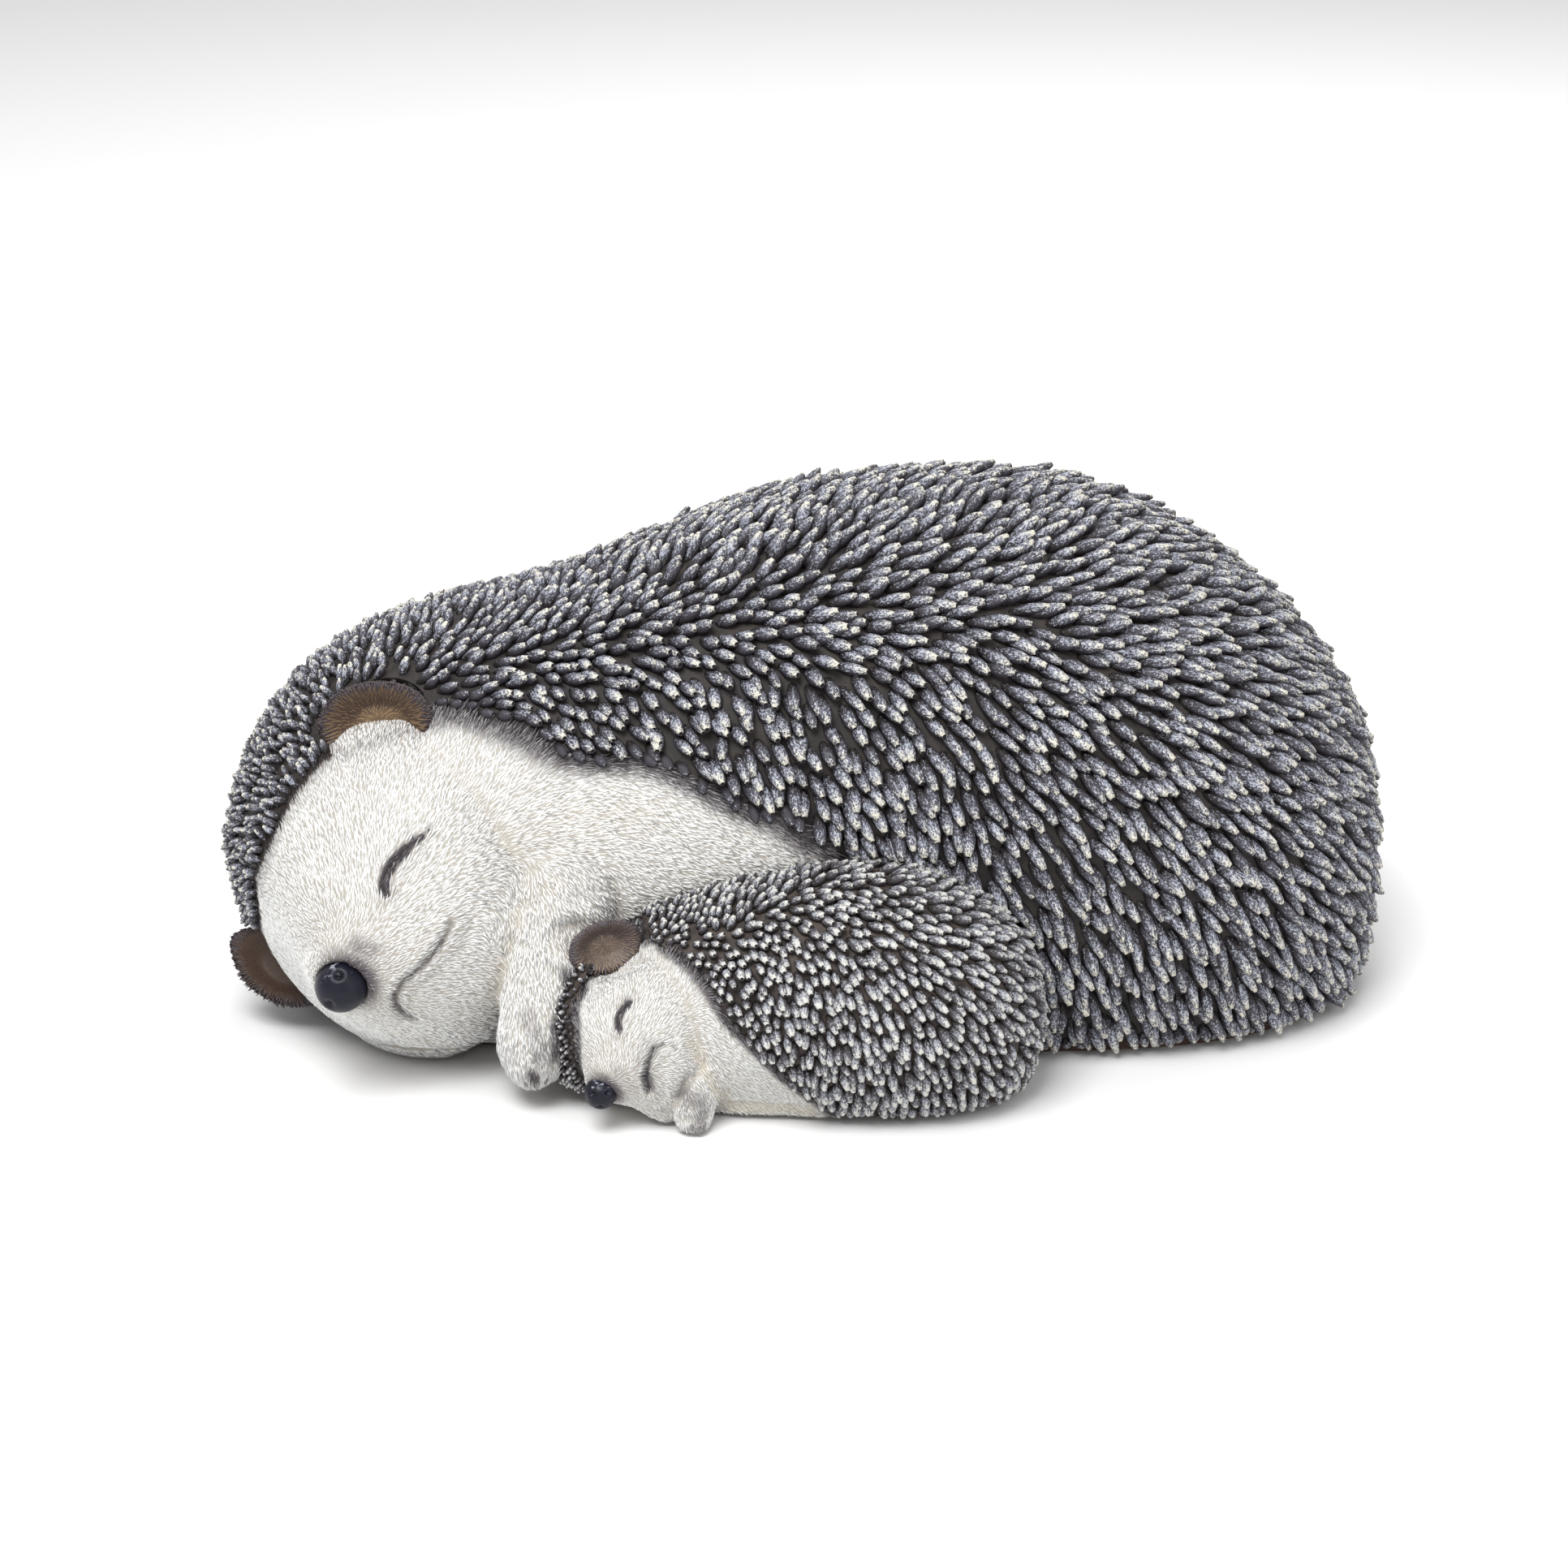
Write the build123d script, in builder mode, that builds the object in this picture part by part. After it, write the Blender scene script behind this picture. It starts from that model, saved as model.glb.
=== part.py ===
"""A sleeping hedgehog with her young against her side, an ornament of resin castings glued together.

X runs from the mother's head to her rump, -Y is the side that the young one lies on, and Z is up.
The origin is on the underside, below the middle of the mother. Sizes are in millimetres.
"""

import os
from math import cos, pi, radians, sin, tan

from build123d import *

os.makedirs("parts", exist_ok=True)

# The mother's body under her quills: head end to rump, front to back, and height
coat_length = 281.0
coat_depth = 152.0
coat_height = 121.0
coat_wall = 6.5

# Her head: crown to chin, ear to ear, and back of the skull to the snout's end
head_width = 78.0
head_breadth = 80.0
head_length = 84.0
crease_radius = 1.0

# Her nose, ears, arm and claws
nose_radius = 6.4
nostril_radius = 1.3
ear_radius = 14.0
ear_wall = 2.6
far_ear_radius = 13.0
arm_width = 24.0
claw_radius = 1.3
claw_length = 3.6

# The white fur between her head and her young: its swell in front of the coat
chest_half_length = 52.0
chest_radius = 34.0

# The young one's body under its quills
baby_length = 111.0
baby_depth = 62.0
baby_height = 55.0
baby_wall = 5.0

# Its head, nose, ear, arm, claws and belly
baby_head_width = 38.0
baby_head_breadth = 38.0
baby_head_length = 40.0
baby_crease_radius = 0.55
baby_nose_radius = 3.7
baby_nostril_radius = 0.7
baby_ear_radius = 9.0
baby_ear_wall = 1.7
baby_arm_width = 15.0
baby_claw_radius = 0.9
baby_claw_length = 2.6
baby_belly_half_length = 34.0
baby_belly_radius = 18.0

# The closing slab under all the castings, with the vent of the mother's hollow
base_thickness = 3.0
vent_radius = 4.0
slab_rim_height = 3.0
slab_rim_wall = 2.5
glue_gap = 0.3

# Quills: half width at the root, and how far the tip stands off the skin
crown_quill_radius = 1.15
crown_quill_height = 2.4
crown_quill_pitch = 7.4
back_quill_radius = 1.7
back_quill_height = 4.0
back_quill_pitch = 9.6
baby_quill_radius = 1.1
baby_quill_height = 2.3
baby_quill_pitch = 6.6
quill_lean = 33.0
quill_tip_share = 0.45
quill_gap = 1.2

# Locks of fur that stand out on the mother's face and chest: half width, length, height and pitch
lock_radius = 1.9
lock_length = 8.0
lock_height = 1.1
lock_pitch = 12.5
lock_gap = 0.8
lock_tip_share = 0.25
lock_shift_share = 0.38

# How steeply the quills droop as they lie back, and where one group of them ends and the next begins
mother_droop_share = 0.35
baby_droop_share = 0.45
crown_end_share = -0.22
rump_start_share = 0.20
flank_height_share = 0.55

# Stations along an axis, each as place along it, then middle and half width, then middle and half height,
# as shares of the body's length, width and height
mother_ends_shares = ((-0.5, -0.09, 0.34), (0.5, 0.135, 0.25))
mother_station_shares = (
    (-0.486, -0.09, 0.110, 0.34, 0.130),
    (-0.430, -0.09, 0.270, 0.350, 0.330),
    (-0.340, -0.075, 0.370, 0.365, 0.425),
    (-0.215, -0.03, 0.415, 0.370, 0.480),
    (-0.055, 0.03, 0.460, 0.385, 0.587),
    (0.110, 0.065, 0.490, 0.375, 0.644),
    (0.235, 0.095, 0.502, 0.343, 0.642),
    (0.345, 0.115, 0.480, 0.295, 0.570),
    (0.430, 0.130, 0.400, 0.250, 0.445),
    (0.480, 0.135, 0.270, 0.235, 0.290),
)
baby_ends_shares = ((-0.540, -0.10, 0.33), (0.49, 0.02, 0.34))
baby_station_shares = (
    (-0.522, -0.10, 0.170, 0.33, 0.230),
    (-0.440, -0.09, 0.270, 0.35, 0.335),
    (-0.300, -0.06, 0.350, 0.38, 0.430),
    (-0.130, -0.03, 0.440, 0.42, 0.490),
    (0.070, -0.01, 0.500, 0.43, 0.550),
    (0.260, 0.00, 0.490, 0.40, 0.530),
    (0.400, 0.01, 0.380, 0.36, 0.410),
    (0.465, 0.02, 0.220, 0.34, 0.230),
)
head_ends_shares = ((-0.47, 0, 0), (0.60, 0, 0))
head_station_shares = (
    (-0.43, 0, 0.20, 0, 0.20),
    (-0.27, 0, 0.42, 0, 0.42),
    (-0.06, 0, 0.50, 0, 0.50),
    (0.12, -0.02, 0.49, 0, 0.50),
    (0.25, -0.06, 0.45, 0, 0.455),
    (0.36, -0.10, 0.38, 0, 0.37),
    (0.45, -0.09, 0.28, 0, 0.265),
    (0.53, -0.05, 0.180, 0, 0.170),
    (0.58, -0.01, 0.11, 0, 0.10),
)

limb_ends_shares = ((-0.22, 0, 0), (1.19, 0, 0))
limb_station_shares = (
    (-0.18, 0, 0.22, 0, 0.22),
    (-0.06, 0, 0.43, 0, 0.43),
    (0.15, 0, 0.50, 0, 0.50),
    (0.45, 0, 0.47, 0, 0.47),
    (0.75, 0, 0.40, 0, 0.40),
    (0.95, 0, 0.37, 0, 0.37),
    (1.08, 0, 0.30, 0, 0.30),
    (1.16, 0, 0.17, 0, 0.17),
)

# Places on the mother, as shares of coat_length, coat_depth and coat_height
head_share = (-0.338, -0.230, 0.355)
near_ear_share = (-0.358, -0.300, 0.660)
far_ear_share = (-0.452, -0.225, 0.150)
chest_share = (-0.135, -0.215, 0.300)
shoulder_share = (-0.196, -0.405, 0.400)
paw_share = (-0.226, -0.530, 0.080)
baby_share = (0.0, -0.44, 0)
vent_share = (0.1, 0.1, 0)

# The upper border of her white fur seen from the front, as shares of coat_length and coat_height
fur_border_shares = (
    (-0.325, 0.71),
    (-0.285, 0.705),
    (-0.235, 0.675),
    (-0.195, 0.642),
    (-0.130, 0.637),
    (-0.090, 0.603),
    (-0.050, 0.559),
    (0.004, 0.512),
    (0.030, 0.440),
    (0.040, 0.300),
)
fur_back_share = -0.20

# The upper border of the young one's white fur seen from the front, as shares of baby_length and baby_height
baby_fur_border_shares = (
    (-0.345, 0.800),
    (-0.293, 0.735),
    (-0.241, 0.687),
    (-0.191, 0.582),
    (-0.158, 0.491),
    (-0.108, 0.391),
    (-0.059, 0.280),
    (0.008, 0.145),
    (0.060, 0.020),
)
baby_fur_back_share = -0.15

# Creases on the heads, as shares of head_width, head_breadth and head_length from the head's own middle
eye_shares = ((-0.001, -0.249, 0.451), (0.014, -0.286, 0.416), (-0.001, -0.332, 0.381), (-0.031, -0.384, 0.338))
mouth_shares = ((-0.157, -0.022, 0.562), (-0.172, -0.091, 0.543), (-0.200, -0.157, 0.502), (-0.217, -0.242, 0.446))
chin_shares = ((-0.157, -0.022, 0.562), (-0.180, 0.022, 0.554), (-0.225, 0.070, 0.523))
baby_eye_shares = ((0.12, -0.30, 0.36), (0.155, -0.34, 0.31), (0.15, -0.39, 0.25))
baby_mouth_shares = ((-0.20, -0.10, 0.50), (-0.17, -0.20, 0.46), (-0.12, -0.29, 0.41))
nostril_share = 0.42
claw_spread_share = 0.62
paw_width_share = 0.74

# Places on the young one, as shares of its own length, depth and height from its own middle
baby_head_share = (-0.338, -0.18, 0.370)
baby_belly_share = (-0.06, -0.08, 0.18)
baby_shoulder_share = (-0.20, -0.26, 0.32)
baby_paw_share = (-0.230, -0.46, 0.08)
baby_ear_share = (-0.41, -0.10, 0.70)

# Directions of the heads and of the ears' openings
snout_way = Vector(-0.24, -0.94, -0.25)
crown_way = Vector(-0.90, 0.13, 0.42)
near_ear_way = Vector(-0.15, -0.95, -0.10)
far_ear_way = Vector(-0.20, -0.85, 0.50)
baby_snout_way = Vector(-0.40, -0.71, -0.56)
baby_crown_way = Vector(-0.80, 0.10, 0.55)
baby_ear_way = Vector(-0.10, -0.95, 0.05)

mother_sizes = (coat_depth, coat_height, coat_length)
baby_sizes = (baby_depth, baby_height, baby_length)
head_sizes = (head_width, head_breadth, head_length)
baby_head_sizes = (baby_head_width, baby_head_breadth, baby_head_length)


def on_mother(share):
    """A point as shares of the mother's length, depth and height."""
    x_share, y_share, z_share = share
    return Vector(x_share * coat_length, y_share * coat_depth, z_share * coat_height)


def on_baby(share):
    """A point as shares of the young one's length, depth and height, from its own middle."""
    x_share, y_share, z_share = share
    return on_mother(baby_share) + Vector(x_share * baby_length, y_share * baby_depth, z_share * baby_height)


def station_loft(axis_plane, ends_shares, station_shares, sizes):
    """A smooth body through elliptical stations along a plane's normal, closed to a point at each end."""
    width, height, length = sizes
    ends = [
        Vertex(*axis_plane.from_local_coords(Vector(x * width, y * height, along * length)))
        for along, x, y in ends_shares
    ]
    sections = [ends[0]]
    for along, x, half_x, y, half_y in station_shares:
        with BuildSketch(axis_plane.offset(along * length)) as station:
            with Locations((x * width, y * height)):
                Ellipse(half_x * width, half_y * height)
        sections.append(station.sketch.face())
    sections.append(ends[1])
    return loft(sections)


def egg(middle, half_length, radius):
    """A smooth round body along X."""
    with BuildSketch(Plane.XY.offset(middle.Z)) as outline:
        with Locations((middle.X, middle.Y)):
            Ellipse(half_length, radius)
            Rectangle(2 * half_length, radius, align=(Align.CENTER, Align.MAX), mode=Mode.SUBTRACT)
    revolve(outline.sketch, Axis(middle, (1, 0, 0)))


def limb(start, end, width):
    """A tapered limb with rounded ends, from a shoulder to a paw."""
    way = end - start
    station_loft(Plane(origin=start, z_dir=way), limb_ends_shares, limb_station_shares, (width, width, way.length))


def bowl(middle, way, radius, wall):
    """A cupped ear that opens along a direction, with a rounded rim."""
    plane = Plane(origin=middle, x_dir=Vector(0, 0, 1).cross(way), z_dir=way)
    profile = Plane(origin=middle, x_dir=plane.x_dir, z_dir=plane.y_dir)
    with BuildSketch(profile) as half:
        Circle(radius)
        Circle(radius - wall, mode=Mode.SUBTRACT)
        Rectangle(radius, 2 * radius, align=(Align.MAX, Align.CENTER), mode=Mode.SUBTRACT)
        Rectangle(radius, radius, align=(Align.MIN, Align.MAX), mode=Mode.SUBTRACT)
        with Locations((radius - wall / 2, 0)):
            Circle(wall / 2)
    revolve(half.sketch, Axis(middle, way))


# Full forms, before they are let into each other
with BuildPart() as mother_form:
    station_loft(Plane.YZ, mother_ends_shares, mother_station_shares, mother_sizes)

head_plane = Plane(origin=on_mother(head_share), x_dir=crown_way, z_dir=snout_way)
with BuildPart() as head_form:
    station_loft(head_plane, head_ends_shares, head_station_shares, head_sizes)

with BuildPart() as chest_form:
    egg(on_mother(chest_share), chest_half_length, chest_radius)

with BuildPart() as arm_form:
    limb(on_mother(shoulder_share), on_mother(paw_share), arm_width)

baby_place = on_mother(baby_share)
baby_plane = Plane(origin=baby_place, x_dir=(0, 1, 0), z_dir=(1, 0, 0))
with BuildPart() as baby_form:
    station_loft(baby_plane, baby_ends_shares, baby_station_shares, baby_sizes)

baby_head_plane = Plane(origin=on_baby(baby_head_share), x_dir=baby_crown_way, z_dir=baby_snout_way)
with BuildPart() as baby_head_form:
    station_loft(baby_head_plane, head_ends_shares, head_station_shares, baby_head_sizes)

with BuildPart() as baby_belly_form:
    egg(on_baby(baby_belly_share), baby_belly_half_length, baby_belly_radius)

with BuildPart() as baby_arm_form:
    limb(on_baby(baby_shoulder_share), on_baby(baby_paw_share), baby_arm_width)

with BuildPart() as near_ear_form:
    bowl(on_mother(near_ear_share), near_ear_way, ear_radius, ear_wall)
with BuildPart() as far_ear_form:
    bowl(on_mother(far_ear_share), far_ear_way, far_ear_radius, ear_wall)
with BuildPart() as baby_ear_form:
    bowl(on_baby(baby_ear_share), baby_ear_way, baby_ear_radius, baby_ear_wall)

with BuildPart() as near_ear_ball:
    with Locations(on_mother(near_ear_share)):
        Sphere(ear_radius)
with BuildPart() as far_ear_ball:
    with Locations(on_mother(far_ear_share)):
        Sphere(far_ear_radius)
with BuildPart() as baby_ear_ball:
    with Locations(on_baby(baby_ear_share)):
        Sphere(baby_ear_radius)

nose_middle = head_plane.from_local_coords(Vector(0, 0, head_ends_shares[1][0] * head_length))
baby_nose_middle = baby_head_plane.from_local_coords(Vector(0, 0, head_ends_shares[1][0] * baby_head_length))
with BuildPart() as nose_form:
    with Locations(nose_middle):
        Sphere(nose_radius)
with BuildPart() as baby_nose_form:
    with Locations(baby_nose_middle):
        Sphere(baby_nose_radius)


def cut_away(*forms):
    """Cuts full forms out of the piece being made, so that it meets them face to face."""
    for form in forms:
        add(form.part, mode=Mode.SUBTRACT)


def stand():
    """Cuts the piece being made flat where it stands on the closing slab."""
    split(bisect_by=Plane.XY.offset(base_thickness), keep=Keep.TOP)


def core(axis_plane, station_shares, sizes, wall):
    """The plain eight-sided core that a hollow casting is poured around."""
    width, height, length = sizes
    sides = 8
    sections = []
    for along, x, half_x, y, half_y in station_shares:
        corners = []
        for corner in range(sides):
            angle = (corner + 0.5) * 2 * pi / sides
            corners.append(((half_x * width - wall) * cos(angle), (half_y * height - wall) * sin(angle)))
        with BuildSketch(axis_plane.offset(along * length)) as station:
            with Locations((x * width, y * height)):
                Polygon(*corners, align=None)
        sections.append(station.sketch.face())
    loft(sections, ruled=True)


def panel(border, middle, back):
    """All that lies in front of a plane and below a border curve, seen from the front."""
    with BuildSketch(Plane.XZ.offset(-back)) as outline:
        with BuildLine():
            top = Spline(*[(middle.X + x, z) for x, z in border])
            Polyline(top @ 1, ((top @ 1).X, -coat_height), ((top @ 0).X, -coat_height), top @ 0)
        make_face()
    extrude(outline.sketch, amount=coat_depth)


def on_head(head_place, sizes, share):
    """A point as shares of a head's three sizes, in the head's own frame."""
    return head_place.from_local_coords(Vector(*(part * size for part, size in zip(share, sizes))))


def crease(head_place, sizes, shares, radius):
    """Cuts a round-bottomed crease into a head, along a curve through places on its skin."""
    path = Spline(*[on_head(head_place, sizes, share) for share in shares], mode=Mode.PRIVATE)
    with BuildSketch(Plane(origin=path @ 0, z_dir=path % 0)) as tool:
        Circle(radius)
    sweep(tool.sketch, path=path, mode=Mode.SUBTRACT)
    with Locations(path @ 0, path @ 1):
        Sphere(radius, mode=Mode.SUBTRACT)


def nostrils(head_place, middle, radius, hole_radius):
    """Hollows two nostrils into a ball nose, side by side at the end of the snout."""
    across = head_place.y_dir * nostril_share * radius
    ahead = head_place.z_dir * (1 - nostril_share / 4) * radius
    with Locations(middle + ahead + across, middle + ahead - across):
        Sphere(hole_radius, mode=Mode.SUBTRACT)


def claws(start, end, width, radius, length):
    """Three pointed claws in a row at the end of a limb, pointing forwards."""
    forwards = Vector(0, -1, 0)
    reach = paw_width_share * width / 2
    across = (end - start).cross(forwards).normalized()
    for side in (-1, 0, 1):
        root = end + across * side * claw_spread_share * reach
        with Locations(Plane(origin=root, z_dir=forwards).location):
            Cone(radius, radius / 3, reach + length, align=(Align.CENTER, Align.CENTER, Align.MIN))


# The hollows, and the panels of white fur
with BuildPart() as mother_core:
    core(Plane.YZ, mother_station_shares[2:-1], mother_sizes, coat_wall)

with BuildPart() as baby_core:
    core(baby_plane, baby_station_shares[2:-1], baby_sizes, baby_wall)

mother_border = [(x_share * coat_length, z_share * coat_height) for x_share, z_share in fur_border_shares]
baby_border = [(x_share * baby_length, z_share * baby_height) for x_share, z_share in baby_fur_border_shares]
with BuildPart() as mother_panel:
    panel(mother_border, Vector(0, 0, 0), fur_back_share * coat_depth)

with BuildPart() as baby_panel:
    panel(baby_border, baby_place, baby_place.Y + baby_fur_back_share * baby_depth)

# The young one's castings
with BuildPart() as baby_nose:
    add(baby_nose_form.part)
    nostrils(baby_head_plane, baby_nose_middle, baby_nose_radius, baby_nostril_radius)
    stand()
baby_nose.part.label = "baby_nose"
export_step(baby_nose.part, "parts/baby_nose.step")

with BuildPart() as baby_arm:
    add(baby_arm_form.part)
    stand()
baby_arm.part.label = "baby_arm"
export_step(baby_arm.part, "parts/baby_arm.step")

with BuildPart() as baby_claws:
    claws(on_baby(baby_shoulder_share), on_baby(baby_paw_share), baby_arm_width, baby_claw_radius, baby_claw_length)
    cut_away(baby_arm_form)
    stand()
baby_claws.part.label = "baby_claws"
export_step(baby_claws.part, "parts/baby_claws.step")

with BuildPart() as baby_head:
    add(baby_head_form.part)
    for shares in (baby_eye_shares, baby_mouth_shares):
        crease(baby_head_plane, baby_head_sizes, shares, baby_crease_radius)
    cut_away(baby_nose_form, baby_arm_form, baby_claws, baby_core)
    stand()
baby_head.part.label = "baby_head"
export_step(baby_head.part, "parts/baby_head.step")

with BuildPart() as baby_near_ear:
    add(baby_ear_form.part)
    cut_away(baby_head_form, arm_form, mother_form, chest_form)
baby_near_ear.part.label = "baby_near_ear"
export_step(baby_near_ear.part, "parts/baby_near_ear.step")

with BuildPart() as baby_belly:
    add(baby_form.part)
    add(baby_belly_form.part)
    add(baby_panel.part, mode=Mode.INTERSECT)
    cut_away(baby_head_form, baby_arm_form, baby_claws, baby_ear_ball, baby_core)
    stand()
baby_belly.part.label = "baby_belly"
export_step(baby_belly.part, "parts/baby_belly.step")

with BuildPart() as baby_coat:
    add(baby_form.part)
    cut_away(baby_panel, baby_head_form, baby_arm_form, baby_ear_ball, baby_core)
    stand()
    # The ear's seat parts a loose crumb from the coat, which the casting doesn't have
    add(baby_coat.solids().sort_by(SortBy.VOLUME)[-1], mode=Mode.REPLACE)
baby_coat.part.label = "baby_coat"
export_step(baby_coat.part, "parts/baby_coat.step")

# The mother's castings
forms_of_baby = (baby_form, baby_head_form)

with BuildPart() as mother_nose:
    add(nose_form.part)
    nostrils(head_plane, nose_middle, nose_radius, nostril_radius)
mother_nose.part.label = "mother_nose"
export_step(mother_nose.part, "parts/mother_nose.step")

with BuildPart() as mother_arm:
    add(arm_form.part)
    cut_away(*forms_of_baby)
    stand()
mother_arm.part.label = "mother_arm"
export_step(mother_arm.part, "parts/mother_arm.step")

with BuildPart() as mother_claws:
    claws(on_mother(shoulder_share), on_mother(paw_share), arm_width, claw_radius, claw_length)
    cut_away(arm_form)
mother_claws.part.label = "mother_claws"
export_step(mother_claws.part, "parts/mother_claws.step")

with BuildPart() as mother_head:
    add(head_form.part)
    for shares in (eye_shares, mouth_shares, chin_shares):
        crease(head_plane, head_sizes, shares, crease_radius)
    cut_away(nose_form, arm_form, mother_core)
    stand()
mother_head.part.label = "mother_head"
export_step(mother_head.part, "parts/mother_head.step")

with BuildPart() as mother_near_ear:
    add(near_ear_form.part)
    cut_away(head_form)
mother_near_ear.part.label = "mother_near_ear"
export_step(mother_near_ear.part, "parts/mother_near_ear.step")

with BuildPart() as mother_far_ear:
    add(far_ear_form.part)
    cut_away(head_form)
    stand()
mother_far_ear.part.label = "mother_far_ear"
export_step(mother_far_ear.part, "parts/mother_far_ear.step")

with BuildPart() as mother_chest:
    add(mother_form.part)
    add(chest_form.part)
    add(mother_panel.part, mode=Mode.INTERSECT)
    cut_away(mother_core, head_form, arm_form, near_ear_ball, *forms_of_baby)
    stand()
mother_chest.part.label = "mother_chest"
export_step(mother_chest.part, "parts/mother_chest.step")

with BuildPart() as mother_coat:
    add(mother_form.part)
    cut_away(mother_core, mother_panel, head_form, arm_form, near_ear_ball, far_ear_ball, *forms_of_baby)
    stand()
mother_coat.part.label = "mother_coat"
export_step(mother_coat.part, "parts/mother_coat.step")

# The closing slab, drawn round the castings where they stand, with a rim inside each hollow and a vent
foot_plane = Plane.XY.offset(base_thickness)
feet = [section(form.part, section_by=foot_plane) for form in (mother_form, baby_form, baby_belly_form)]


def hollow_rim(axis_plane, station_shares, sizes, wall):
    """A low rim just inside the foot of a hollow casting."""
    core(axis_plane, station_shares, sizes, wall + glue_gap)
    stand()
    split(bisect_by=foot_plane.offset(slab_rim_height), keep=Keep.BOTTOM)


with BuildPart() as mother_rim_outside:
    hollow_rim(Plane.YZ, mother_station_shares[2:-1], mother_sizes, coat_wall)

with BuildPart() as mother_rim_inside:
    hollow_rim(Plane.YZ, mother_station_shares[2:-1], mother_sizes, coat_wall + slab_rim_wall)

with BuildPart() as slab_rim:
    add(mother_rim_outside.part)
    cut_away(mother_rim_inside, arm_form, *forms_of_baby)

with BuildPart() as base_plate:
    for foot in feet:
        extrude(foot, amount=base_thickness, dir=(0, 0, -1))
    add(slab_rim.part)
    with Locations(on_mother(vent_share)):
        Cylinder(vent_radius, base_thickness, align=(Align.CENTER, Align.CENTER, Align.MIN), mode=Mode.SUBTRACT)
base_plate.part.label = "base_plate"
export_step(base_plate.part, "parts/base_plate.step")


def quill(radius, height):
    """One quill standing on a flat skin and leaning along X: a tapered four-sided blade with a blunt tip."""
    lean = radians(quill_lean)
    with BuildPart() as blade:
        for level, share in ((0, 1), (height, quill_tip_share)):
            half_width = radius * share
            half_length = half_width / sin(lean)
            with BuildSketch(Plane.XY.offset(level)):
                with Locations((level / tan(lean), 0)):
                    Polygon((half_length, 0), (0, half_width), (-half_length, 0), (0, -half_width), align=None)
        loft(ruled=True)
    return blade.part


def even_steps(points, pitch, first):
    """Shares of the way along a row of points, at an even pitch, from a first length on."""
    steps = []
    walked = 0
    due = first
    for number in range(1, len(points)):
        walked += (points[number] - points[number - 1]).length
        if walked >= due:
            steps.append(number / (len(points) - 1))
            due += pitch
    return steps


def skin_spots(form, pitch):
    """Points and outward ways at an even pitch over a body's smooth faces, in staggered rows."""
    samples = 240
    shares = [number / samples for number in range(samples + 1)]
    spots = []
    for face in form.part.faces():
        spine = [face.position_at(0.5, share) for share in shares]
        for row, along in enumerate(even_steps(spine, pitch, pitch / 2)):
            ring = [face.position_at(share, along) for share in shares]
            for around in even_steps(ring, pitch, pitch / 2 if row % 2 else pitch):
                spots.append((face.position_at(around, along), face.normal_at(around, along)))
    return spots


def is_within(point, axis_plane, ends_shares, station_shares, sizes, margin):
    """Whether a point lies inside a body of stations, or within a margin of it."""
    width, height, length = sizes
    local = axis_plane.to_local_coords(point)
    first, last = ends_shares
    rings = [(first[0], first[1], 0, first[2], 0), *station_shares, (last[0], last[1], 0, last[2], 0)]
    if not rings[0][0] * length - margin < local.Z < rings[-1][0] * length + margin:
        return False
    along = min(max(local.Z / length, rings[0][0]), rings[-1][0])
    for before, after in zip(rings, rings[1:]):
        if before[0] <= along <= after[0]:
            mix = (along - before[0]) / (after[0] - before[0])
            x, half_x, y, half_y = (a + (b - a) * mix for a, b in zip(before[1:], after[1:]))
            reach_x = half_x * width + margin
            reach_y = half_y * height + margin
            return ((local.X - x * width) / reach_x) ** 2 + ((local.Y - y * height) / reach_y) ** 2 < 1
    return False


def is_below(point, border, middle, back, margin):
    """Whether a point lies in front of a fur panel's back and below its border, or within a margin of it."""
    if point.Y > back + margin:
        return False
    x = point.X - middle.X
    if x < border[0][0]:
        return x > 2 * border[0][0] and point.Z < border[0][1] + margin
    for (left, left_height), (right, right_height) in zip(border, border[1:]):
        if left <= x <= right:
            return point.Z < left_height + (right_height - left_height) * (x - left) / (right - left) + margin
    return x < border[-1][0] + margin and point.Z < border[-1][1] + margin


def is_clear_on_mother(point):
    """Whether a point beside the mother's coat is clear of everything else."""
    bodies = (
        (head_plane, head_ends_shares, head_station_shares, head_sizes, quill_gap),
        (baby_plane, baby_ends_shares, baby_station_shares, baby_sizes, baby_quill_height + quill_gap),
    )
    ears = ((on_mother(near_ear_share), ear_radius), (on_mother(far_ear_share), far_ear_radius))
    return (
        point.Z > base_thickness + quill_gap
        and not any(is_within(point, *body) for body in bodies)
        and not is_below(point, mother_border, Vector(0, 0, 0), fur_back_share * coat_depth, quill_gap)
        and all((point - middle).length > radius + quill_gap for middle, radius in ears)
    )


def is_clear_on_baby(point):
    """Whether a point beside the young one's coat is clear of everything else."""
    way = on_mother(paw_share) - on_mother(shoulder_share)
    arm_plane = Plane(origin=on_mother(shoulder_share), z_dir=way)
    bodies = (
        (baby_head_plane, head_ends_shares, head_station_shares, baby_head_sizes, quill_gap),
        (Plane.YZ, mother_ends_shares, mother_station_shares, mother_sizes, quill_gap),
        (arm_plane, limb_ends_shares, limb_station_shares, (arm_width, arm_width, way.length), quill_gap),
    )
    back = baby_place.Y + baby_fur_back_share * baby_depth
    return (
        point.Z > base_thickness + quill_gap
        and not any(is_within(point, *body) for body in bodies)
        and not is_below(point, baby_border, baby_place, back, quill_gap)
        and (point - on_baby(baby_ear_share)).length > baby_ear_radius + quill_gap
    )


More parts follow.
